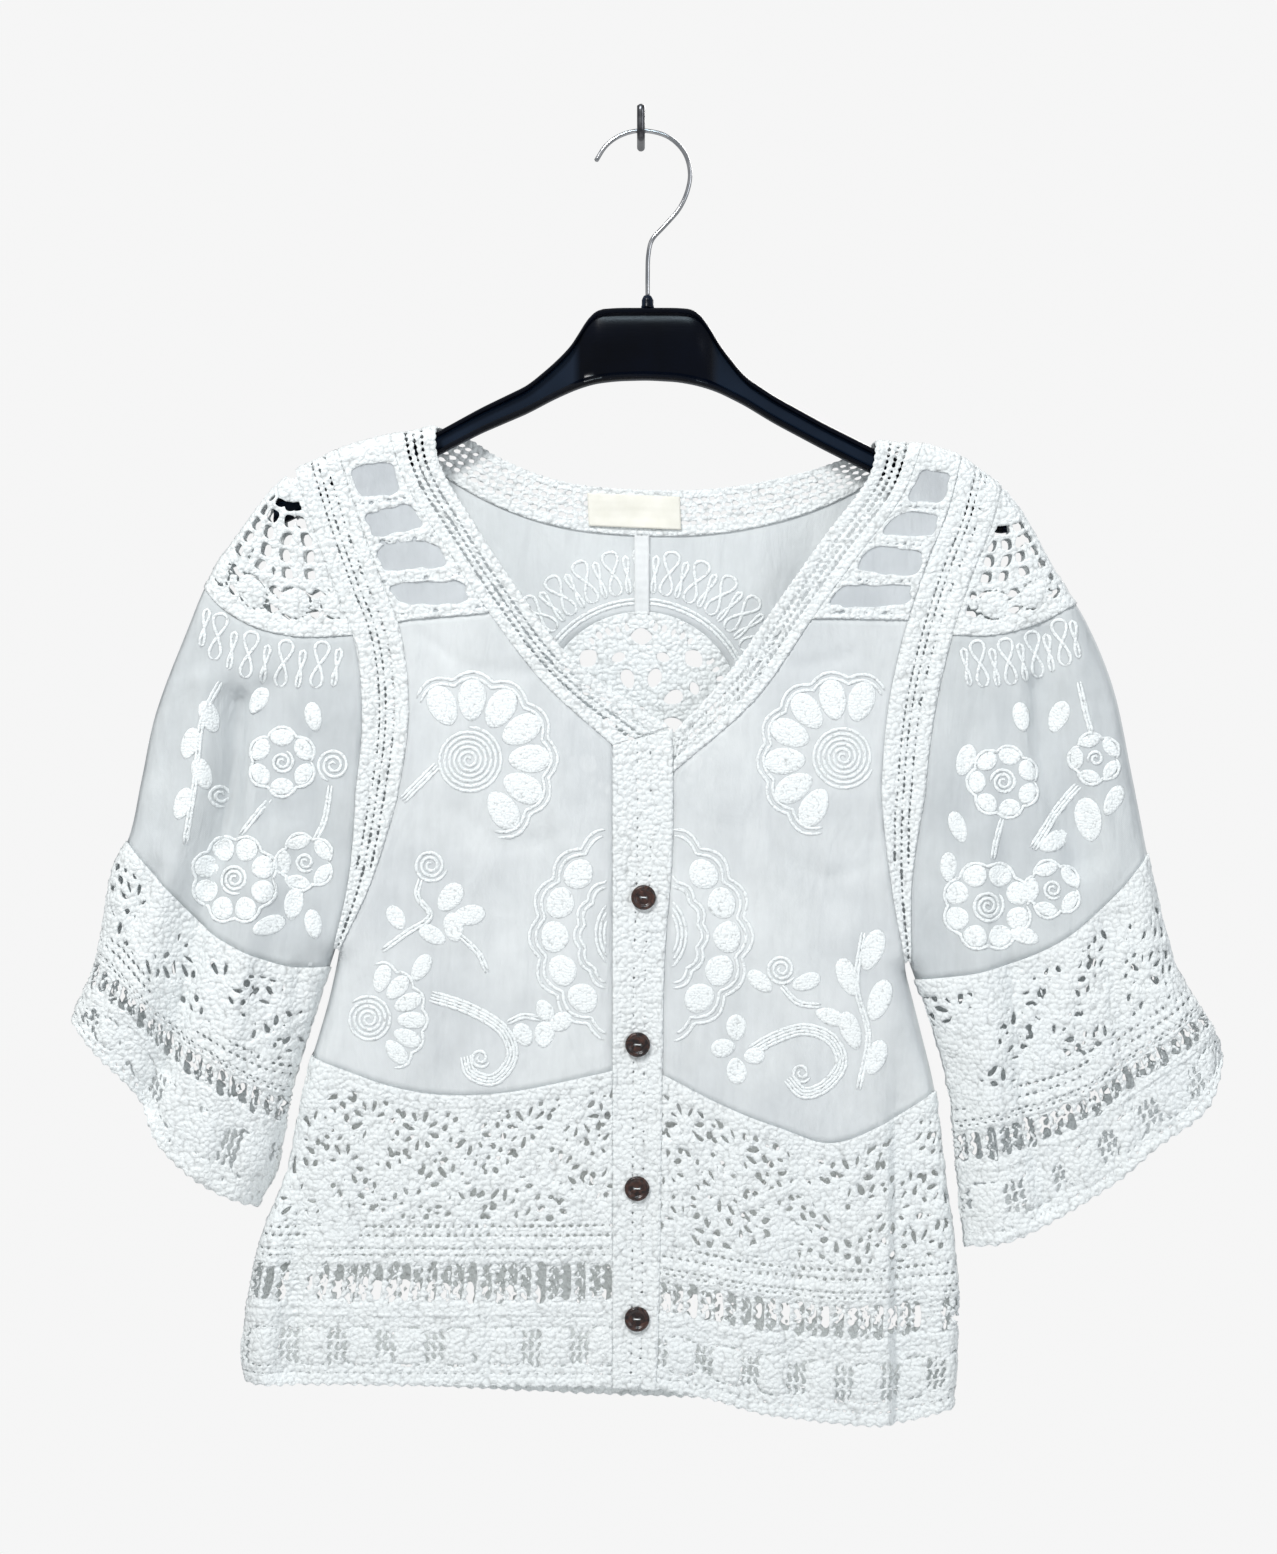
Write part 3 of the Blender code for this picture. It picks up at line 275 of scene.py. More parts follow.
# troughs and ridges of the hanging cloth: line, depth (negative stands out), half width, faces
CREASES = [
    ([(-150, 310), (-148, 380), (-146, 470)], 1.6, 5, "front"),
    ([(-124, 440), (-118, 500), (-116, 560)], 1.3, 5, "front"),
    ([(-60, 420), (-52, 480), (-56, 540)], 1.2, 6, "front"),
    ([(-92, 590), (-88, 660), (-90, 745)], 1.8, 7, "front"),
    ([(-165, 590), (-168, 660), (-172, 740)], 1.6, 6, "front"),
    ([(60, 430), (64, 480), (60, 560)], 1.3, 6, "front"),
    ([(138, 420), (136, 480), (134, 560)], 1.5, 5, "front"),
    ([(96, 600), (92, 670), (94, 765)], 1.8, 7, "front"),
    ([(44, 640), (42, 700), (44, 755)], 1.2, 6, "front"),
    ([(-272, 320), (-284, 370), (-290, 415)], 2.4, 6, "both"),
    ([(-216, 330), (-212, 400), (-206, 470)], 2.6, 6, "both"),
    ([(-226, 360), (-230, 420), (-236, 500), (-244, 590)], -1.6, 6, "both"),
    ([(-194, 360), (-190, 430), (-190, 490)], 1.6, 5, "both"),
    ([(222, 330), (220, 400), (214, 480)], 2.2, 6, "both"),
    ([(278, 340), (284, 400), (296, 450)], 2.0, 6, "both"),
    ([(196, 360), (192, 430), (184, 500)], 1.8, 5, "both"),
    ([(236, 500), (244, 560), (252, 630)], 2.0, 8, "both"),
    ([(290, 470), (306, 530), (322, 580)], 1.8, 7, "both"),
    ([(-262, 330), (-266, 390), (-284, 450), (-300, 520)], -4.6, 9, "both"),
    ([(-240, 340), (-246, 400), (-262, 470), (-282, 560)], 6.0, 5.5, "front"),
    ([(-214, 420), (-232, 480), (-250, 560), (-262, 620)], -4.6, 9, "front"),
    ([(-226, 330), (-224, 400), (-216, 440)], 4.6, 5, "front"),
    ([(-204, 500), (-206, 560), (-214, 610)], 4.4, 5, "front"),
    ([(-290, 440), (-312, 490), (-326, 530)], 3.0, 5, "front"),
    ([(258, 300), (270, 380), (282, 440)], -2.6, 8, "front"),
    ([(206, 420), (204, 500), (212, 600)], -2.8, 9, "front"),
    ([(236, 330), (242, 390), (262, 440)], 4.4, 5, "front"),
    ([(222, 500), (230, 580), (240, 640)], 4.6, 6, "front"),
    ([(276, 470), (288, 540), (300, 600)], 3.0, 6, "front"),
    ([(149, 560), (150.5, 640), (152, 775)], 2.6, 2.6, "front"),
    ([(-200, 590), (-205, 660), (-206, 745)], 3.6, 5, "front"),
    ([(-132, 300), (-100, 320), (-60, 322)], 1.2, 4, "front"),
    ([(-112, 405), (-80, 425), (-50, 420)], 1.1, 4, "front"),
    ([(60, 300), (90, 318), (126, 312)], 1.2, 4, "front"),
    ([(84, 430), (110, 446), (140, 436)], 1.1, 4, "front"),
    ([(-100, 290), (-96, 400), (-90, 560), (-92, 740)], 2.0, 8, "back"),
    ([(70, 300), (80, 420), (72, 560), (76, 750)], 2.2, 8, "back"),
    ([(-30, 420), (-36, 540), (-30, 700)], 1.6, 8, "back"),
    ([(130, 400), (136, 520), (130, 700)], 1.6, 7, "back"),
    ([(-160, 400), (-164, 540), (-180, 700)], 1.6, 7, "back"),
]


def crinkle(points, face):
    """Small uneven waves of the soft cloth, mm; positive stands out."""
    x, drop = points[:, 0], points[:, 1]
    shift = 0.0 if face == "front" else 2.1
    lift = (0.42 * np.sin(x / 9.1 + 1.4 * np.sin(drop / 47 + shift) + shift)
            + 0.30 * np.sin(x / 5.3 + drop / 31 + 2 * np.sin(drop / 83))
            + 0.34 * np.sin(drop / 19 + 1.3 * np.sin(x / 41) + shift))
    for line, deep, half, faces in CREASES:
        if faces in (face, "both"):
            near = np.abs(points - np.mean(line, axis=0)).max(axis=1) < 130
            if near.any():
                lift[near] -= deep * np.exp(-(line_distance(points[near], line) / half)**2)
    return lift


CHUNK = 20000


def cloth_chunk(points, face, lift):
    """Places on one layer of the garment, which closes at the outline, raised by the lift and waves."""
    distance, direction = to_nearest_edge(points)
    x, drop = points[:, 0], points[:, 1]
    sleeve = ramp(np.abs(x - BODY_MIDDLE), SLEEVE_START, SLEEVE_FULL)
    radius = (EDGE_RADIUS + EDGE_RADIUS_LOW * ramp(drop, 220, 420)
              + EDGE_RADIUS_SLEEVE * ramp(drop, 330, 560) * sleeve)
    free = free_depth(points, face)
    t = np.clip(distance / radius, 0, 1)
    round_off = np.sqrt(np.maximum(1 - (1 - t)**2, 0))
    slope_edge = np.where(t < 1, free * (1 - t) / np.maximum(round_off, 0.02) / radius, 0)
    slope = direction * slope_edge[:, None]
    sign = -1.0 if face == "front" else 1.0
    depth = free * round_off
    y = HANGER_Y + sign * (FOLD_GAP / 2 + depth)
    outer = np.stack([x, y, -drop], axis=1)
    inward = np.stack([slope[:, 0], np.full(len(points), -sign), -slope[:, 1]], axis=1)
    inward /= np.linalg.norm(inward, axis=1)[:, None]
    raised = lift + crinkle(points, face) * np.clip(distance / radius, 0, 1)
    return outer - inward * raised[:, None], inward


def cloth_point(points, face, lift=0.0):
    """Outer points of the cloth over places (x, drop), and the direction to its inside."""
    lift = np.broadcast_to(np.asarray(lift, float), (len(points),))
    found = [cloth_chunk(points[k:k + CHUNK], face, lift[k:k + CHUNK]) for k in range(0, len(points), CHUNK)]
    return np.vstack([f[0] for f in found]), np.vstack([f[1] for f in found])


def coons(top, bottom, left, right):
    """A patch stretched between four curves that meet at its corners."""
    def place(u, v):
        u, v = u[:, None], v[:, None]
        sides = (1 - u) * along(left, v[:, 0]) + u * along(right, v[:, 0])
        ends = (1 - v) * along(top, u[:, 0]) + v * along(bottom, u[:, 0])
        corners = ((1 - u) * (1 - v) * top[0] + u * (1 - v) * top[-1]
                   + (1 - u) * v * bottom[0] + u * v * bottom[-1])
        return sides + ends - corners
    return place


def ruled(inner, outer):
    """A strip between two curves."""
    def place(u, v):
        u = u[:, None]
        return (1 - u) * along(inner, v) + u * along(outer, v)
    return place


def front_edges(side):
    """The outer edge of a front, down armhole and side, and its inner edge, down neck and placket."""
    towards_body = min(ARM[side], key=lambda curve: abs(curve[len(curve) // 2, 0]))
    outer = np.vstack([towards_body, IN_BODY[side][1:]])
    neck = smooth_curve(NECK_OUTER[side])
    edge = smooth_curve(PLACKET[side])
    inner = np.vstack([neck, cut_curve(edge, neck[-1], edge[-1])[1:]])
    return outer, inner


def sleeve_edges(side):
    towards_sleeve = max(ARM[side], key=lambda curve: abs(curve[len(curve) // 2, 0]))
    return np.vstack([towards_sleeve, IN_SLEEVE[side][1:]])


def panel(rows_top, rows_bottom, left_edge, right_edge):
    """A patch between two rows, cut out of the space between two long edges."""
    top, bottom = smooth_curve(rows_top), smooth_curve(rows_bottom)
    left = cut_curve(left_edge, top[0], bottom[0])
    right = cut_curve(right_edge, top[-1], bottom[-1])
    top[0], top[-1] = left[0], right[0]
    bottom[0], bottom[-1] = left[-1], right[-1]
    return coons(top, bottom, left, right)


# meshes

# corners 0 to 3 of a cell are numbered round it, and 4 to 7 are the crossings on its sides
CELL_FACES = {
    1: [(0, 4, 7)], 2: [(1, 5, 4)], 3: [(0, 1, 5, 7)], 4: [(2, 6, 5)], 5: [(0, 4, 7), (2, 6, 5)],
    6: [(1, 2, 6, 4)], 7: [(0, 1, 2, 6, 7)], 8: [(3, 7, 6)], 9: [(0, 4, 6, 3)],
    10: [(1, 5, 4), (3, 7, 6)], 11: [(0, 1, 5, 6, 3)], 12: [(2, 3, 7, 5)], 13: [(0, 4, 5, 2, 3)],
    14: [(1, 2, 3, 7, 4)], 15: [(0, 1, 2, 3)],
}


def contour(field):
    """Faces that cover a grid where its field is positive, as rows of numbers by face size.

    Numbers below n are grid points, then crossings along the first axis, then along the second.
    """
    rows, columns = field.shape
    n = rows * columns
    solid = field > 0
    case = (solid[:-1, :-1] * 1 + solid[1:, :-1] * 2 + solid[1:, 1:] * 4 + solid[:-1, 1:] * 8)
    faces = {}
    for kind, polygons in CELL_FACES.items():
        i, j = np.nonzero(case == kind)
        a = i * columns + j
        spot = {0: a, 1: a + columns, 2: a + columns + 1, 3: a + 1, 4: n + a, 6: n + a + 1,
                7: 2 * n + a, 5: 2 * n + a + columns}
        for polygon in polygons:
            faces.setdefault(len(polygon), []).append(np.stack([spot[k] for k in polygon], axis=1))
    return {size: np.vstack(found) for size, found in faces.items() if len(np.vstack(found))}


def add_mesh(name, points, groups, finish):
    """A mesh object from points in mm and rows of faces, turned so that its volume is positive."""
    points = np.asarray(points, float)
    used = np.unique(np.concatenate([g.ravel() for g in groups]))
    renumber = np.zeros(len(points), np.int64)
    renumber[used] = np.arange(len(used))
    points = points[used] * MM
    groups = [renumber[g] for g in groups]
    volume = 0.0
    for g in groups:
        for k in range(1, g.shape[1] - 1):
            cross = np.cross(points[g[:, k]], points[g[:, k + 1]])
            volume += float((points[g[:, 0]] * cross).sum())
    if volume < 0:
        groups = [g[:, ::-1] for g in groups]
    mesh = bpy.data.meshes.new(name)
    loops = np.concatenate([g.ravel() for g in groups])
    sizes = np.concatenate([np.full(len(g), g.shape[1]) for g in groups])
    mesh.vertices.add(len(points))
    mesh.vertices.foreach_set("co", points.ravel())
    mesh.loops.add(len(loops))
    mesh.loops.foreach_set("vertex_index", loops)
    mesh.polygons.add(len(sizes))
    mesh.polygons.foreach_set("loop_start", np.concatenate([[0], np.cumsum(sizes)[:-1]]))
    mesh.polygons.foreach_set("loop_total", sizes)
    mesh.update(calc_edges=True)
    mesh.validate()
    mesh.materials.append(finish)
    item = bpy.data.objects.new(name, mesh)
    bpy.context.scene.collection.objects.link(item)
    mesh.shade_smooth()
    return item


def closed(outer, inner, faces):
    """Points and faces of a wall between two layers, with a rim round every edge and hole."""
    n = len(outer)
    groups = list(faces.values())
    edges = np.vstack([np.stack([g, np.roll(g, -1, axis=1)], axis=2).reshape(-1, 2) for g in groups])
    code = edges[:, 0] * n + edges[:, 1]
    open_edges = edges[~np.isin(code, edges[:, 1] * n + edges[:, 0])]
    rim = np.stack([open_edges[:, 1], open_edges[:, 0], open_edges[:, 0] + n, open_edges[:, 1] + n], axis=1)
    under = [g[:, ::-1] + n for g in groups]
    return np.vstack([outer, inner]), groups + under + [rim]


def cut_grid(field, layers, margin=0.08):
    """Values and faces where a grid's field is positive, with points added where it is zero.

    Each layer holds one value for each grid point. The margin keeps cut points off the grid's own.
    """
    flat = field.ravel()
    n = len(flat)
    faces = contour(field)
    parts = [layers]
    for step in (field.shape[1], 1):
        other = np.minimum(np.arange(n) + step, n - 1)
        change = flat - flat[other]
        share = np.clip(flat / np.where(np.abs(change) < 1e-9, 1, change), margin, 1 - margin)
        parts.append([layer + (layer[other] - layer) * share for layer in layers])
    used = np.unique(np.concatenate([g.ravel() for g in faces.values()]))
    renumber = np.zeros(3 * n, np.int64)
    renumber[used] = np.arange(len(used))
    kept = [np.concatenate(column)[used] for column in zip(*parts)]
    return kept, {size: renumber[g] for size, g in faces.items()}


def cloth(name, finish, place, size, pitch, pattern, face, thick, span=(0, 1, 0, 1)):
    """A piece of cloth cut by a pattern, which gives its field (positive is yarn) and its height."""
    us, vs = (np.linspace(low, high, max(3, int(round(length / pitch)) + 1))
              for low, high, length in zip(span[::2], span[1::2], size))
    grid_u, grid_v = np.meshgrid(us, vs, indexing="ij")
    field, height = pattern(grid_u.ravel(), grid_v.ravel())
    (u, v, lift), faces = cut_grid(field.reshape(grid_u.shape), [grid_u.ravel(), grid_v.ravel(), height])
    outer, inward = cloth_point(place(u, v), face, lift)
    inner = outer + inward * (thick + np.maximum(lift, 0))[:, None]
    limit, middle = (np.minimum, -FOLD_GAP / 2) if face == "front" else (np.maximum, FOLD_GAP / 2)
    inner[:, 1] = limit(inner[:, 1], HANGER_Y + middle)
    points, groups = closed(outer, inner, faces)
    return add_mesh(name, points, groups, finish)


# patterns of the openwork, in mm

def crest(value, at, width):
    """A bell of height 1 round a value."""
    return np.exp(-((value - at) / width)**2)


def wobble(s, t, seed, size=7.0):
    """Smooth uneven waves between about -1 and 1."""
    return (np.sin(1.7 * s / size + 2.3 * np.sin(0.9 * t / size + seed) + seed)
            + np.sin(1.3 * t / size + 1.9 * np.sin(1.1 * s / size + 2 * seed))
            + 0.6 * np.sin(2.7 * (s + t) / size + 3 * seed)) / 2.6


def cell(value, pitch, shift=0.0):
    """Place of a value within its repeat, from minus to plus half the pitch."""
    share = value / pitch + shift
    return (share - np.floor(share) - 0.5) * pitch


def number(value, pitch, shift=0.0):
    return np.floor(value / pitch + shift)


def gap(s, t, half_s, half_t, sharp=2.6):
    """Distance from a rounded oblong hole round the origin, positive outside it."""
    reach = ((np.abs(s) / half_s)**sharp + (np.abs(t) / half_t)**sharp)**(1 / sharp)
    return (reach - 1) * np.minimum(half_s, half_t)


def hole_rows(s, t, centres, pitch, half_s, half_t, seed):
    """Rows of small holes at the given places of t, each row half a stitch off the last."""
    field = np.full(s.shape, CLEAR)
    for k, centre in enumerate(centres):
        shift = 0.5 * (k % 2) + 0.07 * k
        uneven = 0.28 * wobble(s, t, seed + k, 5.0)
        lean = 0.55 * (1 if k % 2 else -1)
        off = t - centre
        here = gap(cell(s + lean * off, pitch, shift), off - 0.5 * lean * cell(s, pitch, shift),
                   half_s, half_t, 2.0)
        field = np.minimum(field, here + uneven)
    return field


def rounded(field, height=0.7, width=1.7):
    """Height of yarn that rounds down to the edges of its holes."""
    t = np.clip(field / width, 0, 1)
    return height * (np.sqrt(np.maximum(1 - (1 - t)**2, 0)) - 0.35)


def knots(s, t, seed, pitch=4.1):
    """Low lumps of the stitches, bent a little so that they don't line up."""
    s = s + 1.3 * np.sin(t / 5.3 + seed)
    t = t + 1.1 * np.sin(s / 6.1 + 2 * seed)
    return (0.34 * np.sin(2 * math.pi * s / pitch + seed) * np.sin(2 * math.pi * t / pitch + 2 * seed)
            + 0.22 * wobble(s, t, seed, 3.6))


def rosette(s, t, pitch, seed, loose, petals=8):
    """Crochet flowers in offset rows: a round eye, petals with slots between, a net round them.

    A low loose value closes more of the gaps, in uneven patches.
    """
    row = number(t, pitch * 0.86)
    shift = 0.5 * (row % 2) + 0.11 * np.sin(3.1 * row + seed)
    ds = cell(s, pitch, shift)
    dt = cell(t, pitch * 0.86)
    r = np.hypot(ds, dt)
    turn = np.arctan2(dt, ds) + seed + row
    one = 2 * math.pi / petals
    vary = 0.35 * wobble(s, t, seed + 9, 11.0)
    slots = gap(r - 9.2, cell(turn, one) * 9.2, 3.5 * (1 + vary), 1.15 * (1 + vary), 2.2)
    tips = gap(r - 15.6, cell(turn, one, 0.5) * 15.6, 1.8 * (1 - vary), 2.3 * (1 + vary), 2.0)
    net = gap(cell(s + 0.4 * t, 6.6), cell(t - 0.3 * s, 5.9), 2.1 * (1 + vary), 1.5 * (1 - vary), 1.8)
    net = np.where(r > 17.2, net, CLEAR)
    field = np.minimum(np.minimum(slots, tips), net) + 0.55 * wobble(s, t, seed, 4.3)
    closed_up = 2.4 * ramp(wobble(s, t, seed + 5, 15.0), loose, loose + 0.35)
    raised = 0.5 * crest(r, 11.5, 3.5) + 0.7 * crest(r, 0.0, 3.2)
    return field + closed_up, raised


def band_pattern(seed, rows_at, width, length, pitch=4.4, hole=(1.75, 1.2)):
    """A strip with u across and v along: a scalloped edge and rows of holes."""
    def pattern(u, v):
        s, t = v * length, u * width
        field = hole_rows(s, t, rows_at, pitch, hole[0], hole[1], seed)
        field = np.minimum(field, t - (1 - np.abs(np.sin(math.pi * s / 5.2))) + 0.05)
        ridge = 0.35 * crest(t, 2.2, 1.6) + 0.3 * crest(t, width - 2.2, 1.6)
        return field, rounded(field) + ridge + knots(s, t, seed)
    return pattern


def zone_heights(patches, count=60):
    """Height of each zone at evenly spaced shares across it."""
    us = np.linspace(0, 1, count)
    return us, [np.linalg.norm(p(us, np.ones(count)) - p(us, np.zeros(count)), axis=1) for p in patches]


def stack(patches):
    def place(u, v):
        scaled = np.clip(v, 0, 1) * len(patches)
        level = np.minimum(scaled.astype(int), len(patches) - 1)
        points = np.zeros((len(u), 2))
        for k, patch in enumerate(patches):
            here = level == k
            if here.any():
                points[here] = patch(u[here], scaled[here] - k)
        return points
    return place


def lace_field(s, t, high, seed, loose):
    """Curved tape, then crochet flowers, then rows of small holes that lead to the next tape."""
    field, raised = rosette(s, t - 8, 35.0, seed, loose)
    zigzag = np.abs(cell(s, 70.0, 0.1 * seed)) * 0.7
    for down in (30.0, 58.0):
        near = np.abs(t - down - zigzag)
        field = np.where(near < 3.6, np.maximum(field, 3.6 - near), field)
        raised = raised + 0.6 * crest(near, 0.0, 2.6)
    field = np.where(t < 9.5, 6.0, field)
    raised = np.where(t < 9.5, 0.6 + 0.2 * np.sin(math.pi * t / 2.4), raised)
    low = high - t
    rows = hole_rows(s, low, (5.0, 10.5), 4.8, 1.7, 1.25, seed) + 1.5 * ramp(wobble(s, t, seed + 2, 22.0),
                                                                             loose, loose + 0.4)
    field = np.where(low < 14, rows, field)
    return field, raised


def ladder_field(s, t, high, seed, loose, strip):
    """Twisted bars, a loose string in each gap between them, and a tape above and below."""
    top, foot = strip[0] * high, strip[1] * high
    pitch = 7.9
    column = number(s, pitch)
    twist = np.sin(2 * math.pi * t / 5.6 + 2.1 * column)
    middle = (top + foot) / 2
    place = cell(s + 0.5 * twist + 0.6 * np.sin(1.7 * column), pitch)
    bars = gap(place, t - middle, 2.75 + 0.45 * twist, (foot - top) / 2 - 1.2 * np.sin(2.3 * column), 4.0)
    string = 0.62 - np.abs(place - 1.5 * np.sin(2 * math.pi * t / 11.0 + 2.9 * column))
    bars = np.maximum(bars, np.where(np.sin(3.7 * column + seed) > -0.55, string, -CLEAR))
    small = hole_rows(s, t, (0.07 * high, 0.16 * high), 4.6, 1.2, 0.8, seed)
    field = np.minimum(bars + 0.3 * wobble(s, t, seed, 3.0), small)
    field = field + 2.0 * ramp(wobble(s, 0 * t, seed + 4, 26.0), loose + 0.25, loose + 0.6)
    raised = np.where((t < top - 1) | (t > foot + 1), 0.4 + 0.2 * np.sin(math.pi * t / 2.6),
                      0.35 * np.sin(2 * math.pi * t / 3.2 + 1.3 * column))
    return field, raised


def border_field(s, t, high, seed, loose, strip):
    """Solid discs in a row with three twisted cords between each two, a tape and a scalloped hem."""
    middle = (0.42 + strip[2]) * high
    pitch = 27.6
    disc_s = cell(s, pitch, strip[3])
    between = cell(s, pitch, 0.5 + strip[3])
    radius = 0.24 * high
    reach = (np.abs(disc_s)**3 + np.abs(t - middle)**3)**(1 / 3)
    twist = 0.7 * np.sin(2 * math.pi * t / 6.0 + number(s, pitch))
    slots = gap(cell(between + twist, 4.1, 0.5), t - middle, 1.15, radius * 0.95, 5.0)
    slots = np.where(np.abs(between + twist) < 6.3, slots, CLEAR)
    ties = np.abs(np.abs(t - middle) - 0.33 * radius) - 0.6
    slots = np.maximum(slots, np.where(ties < 0, -ties, -CLEAR))
    ring = gap(reach - radius - 1.2, cell(s + t, 4.4), 0.7, 1.4, 2.0)
    field = np.minimum(slots, np.where(np.abs(between) > 6.5, ring, CLEAR)) + 0.4 * wobble(s, t, seed, 4.0)
    field = field + 1.6 * ramp(wobble(s, t, seed + 7, 19.0), loose + 0.25, loose + 0.6)
    lower = hole_rows(s, t, (0.8 * high,), 5.2, 1.1, 0.7, seed)
    field = np.minimum(field, np.where(t > 0.7 * high, lower, CLEAR))
    edge = high - 0.2 - 1.4 * np.abs(np.sin(math.pi * s / 7.0))**2 - 0.5 * np.abs(np.sin(s * 1.9)) - t
    field = np.minimum(field, edge)
    raised = 0.9 * np.clip((radius - reach) / radius, 0, 1)**0.5 + np.where(t > 0.86 * high, 0.4, 0)
    return field, raised


def lace_pattern(patches, width, seed, loose=0.35, strip=(0.28, 0.80, 0.0, 0.0)):
    """The three zones of a lace piece: flowers, ladder and border."""
    share, heights = zone_heights(patches)
    makers = [(lace_field, loose, ()), (ladder_field, max(loose, 0.3), (strip,)),
              (border_field, max(loose, 0.1), (strip,))]

    def pattern(u, v):
        scaled = np.clip(v, 0, 1) * len(makers)
        level = np.minimum(scaled.astype(int), len(makers) - 1)
        s = u * width
        field, raised = np.zeros(len(u)), np.zeros(len(u))
        for k, (maker, looseness, more) in enumerate(makers):
            here = level == k
            high = np.interp(u[here], share, heights[k])
            field[here], raised[here] = maker(s[here], (scaled[here] - k) * high, high, seed + k,
                                              looseness, *more)
        t_all = v * sum(h.mean() for h in heights)
        return field, rounded(field) + raised + knots(s, t_all, seed)
    return pattern


# materials

def feed(tree, socket, value):
    """Links another node's output to a socket, or sets the socket's value."""
    if isinstance(value, bpy.types.NodeSocket):
        tree.links.new(value, socket)
    else:
        socket.default_value = value


def add_node(tree, kind, feeds, **settings):
    node = tree.nodes.new(kind)
    for key, value in settings.items():
        setattr(node, key, value)
    for key, value in feeds.items():
        feed(tree, node.inputs[key], value)
    return node


def new_material(name):
    """A material, its node tree and its object coordinates."""
    made = bpy.data.materials.new(name)
    made.use_nodes = True
    tree = made.node_tree
    return made, tree, add_node(tree, "ShaderNodeTexCoord", {}).outputs["Object"]


def shade(made, feeds):
    shader = made.node_tree.nodes["Principled BSDF"]
    for key, value in feeds.items():
        feed(made.node_tree, shader.inputs[key], value)
    return made


def noise(tree, place, scale, detail, distortion=0.0, output="Fac"):
    feeds = {"Vector": place, "Scale": scale, "Detail": detail, "Distortion": distortion}
    return add_node(tree, "ShaderNodeTexNoise", feeds).outputs[output]


def stretched(tree, place, scale, turn=0.0):
    """Coordinates scaled along each axis, and turned about Y."""
    return add_node(tree, "ShaderNodeMapping", {"Vector": place, "Rotation": (0.0, turn, 0.0),
                                                "Scale": scale}).outputs[0]


def combine(tree, operation, *values):
    return add_node(tree, "ShaderNodeMath", dict(enumerate(values)), operation=operation).outputs[0]


def spread(tree, value, low, high, start=0.0, end=1.0):
    """A value from start to end, laid over low to high."""
    feeds = {"Value": value, "From Min": start, "From Max": end, "To Min": low, "To Max": high}
    return add_node(tree, "ShaderNodeMapRange", feeds).outputs["Result"]


def colour_mix(tree, factor, low, high, span=(0.3, 0.7)):
    """A ramp between two colours, driven by a factor."""
    node = add_node(tree, "ShaderNodeValToRGB", {"Fac": factor})
    for stop, position, colour in zip(node.color_ramp.elements, span, (low, high)):
        stop.position = position
        stop.color = (*colour, 1)
    return node.outputs["Color"]


def blend(tree, factor, low, high, mode="MIX"):
    return add_node(tree, "ShaderNodeMix", {"Factor": factor, "A": low, "B": high}, data_type="RGBA",
                    blend_type=mode).outputs["Result"]


def bump(tree, height, strength, distance, normal=None, invert=False):
    feeds = {"Height": height, "Strength": strength, "Distance": distance}
    if normal is not None:
        feeds["Normal"] = normal
    return add_node(tree, "ShaderNodeBump", feeds, invert=invert).outputs["Normal"]


def crochet_material(name, tint, nub=330.0, strength=1.0, alpha=1.0):
    """White cotton yarn: nubby stitches, fine twist, and painted shade that greys the yarn between the
    stitches.
    """
    made, tree, place = new_material(name)
    bend = noise(tree, place, 160.0, 2.0, output="Color")
    moved = add_node(tree, "ShaderNodeVectorMath", {0: bend, 1: (0.0035, 0.0035, 0.0035), 2: place},
                     operation="MULTIPLY_ADD").outputs[0]
    stitches = add_node(tree, "ShaderNodeTexVoronoi", {"Vector": moved, "Scale": nub,
                                                       "Randomness": 0.75}).outputs["Distance"]
    # painted shade: the tint darkens to 0.58 towards the edges of each stitch cell, where the crevices
    # between stitches fall
    between = colour_mix(tree, stitches, tint, tuple(c * 0.58 for c in tint), (0.6, 1.05))
    colour = blend(tree, noise(tree, place, 22.0, 2.0), between, (0.975, 0.985, 1.0, 1), "MULTIPLY")
    coarse = bump(tree, stitches, strength, 0.0013, invert=True)
    fine = bump(tree, noise(tree, place, 1900.0, 3.0), 0.45, 0.0003, coarse)
    return shade(made, {"Roughness": 0.9, "Base Color": colour, "Normal": fine, "Sheen Weight": 0.15,
                        "Alpha": alpha})


def voile_material(name, tint, alpha):
    """Sheer plain weave: crossed threads in the normal, an uneven thickness, and painted shade in soft
    patches.
    """
    made, tree, place = new_material(name)
    axes = add_node(tree, "ShaderNodeSeparateXYZ", {"Vector": place}).outputs
    weave = combine(tree, "MULTIPLY", *[combine(tree, "SINE", combine(tree, "MULTIPLY", axes[axis], rate))
                                        for axis, rate in (("X", 5200.0), ("Z", 4700.0))])
    slub = noise(tree, stretched(tree, place, (1.0, 1.0, 0.18)), 260.0, 3.0)
    threads = colour_mix(tree, slub, tuple(c * 0.95 for c in tint), tint)
    # painted shade: soft patches of the voile darkened to 0.90, standing for uneven shading of the cloth
    painted_shade_patches = colour_mix(tree, noise(tree, place, 13.0, 3.0), (0.90, 0.905, 0.915), (1.0, 1.0, 1.0),
                        (0.35, 0.62))
    thin = spread(tree, noise(tree, place, 34.0, 4.0), alpha - 0.08, alpha + 0.08, 0.3, 0.7)
    creased = noise(tree, stretched(tree, place, (1.0, 1.0, 0.4), 0.35), 55.0, 4.0, 0.6)
    rumpled = bump(tree, slub, 0.5, 0.0009, bump(tree, creased, 0.5, 0.005))
    return shade(made, {"Roughness": 0.75, "Base Color": blend(tree, 1.0, threads, painted_shade_patches, "MULTIPLY"),
                        "Alpha": thin, "Normal": bump(tree, weave, 0.3, 0.0001, rumpled)})


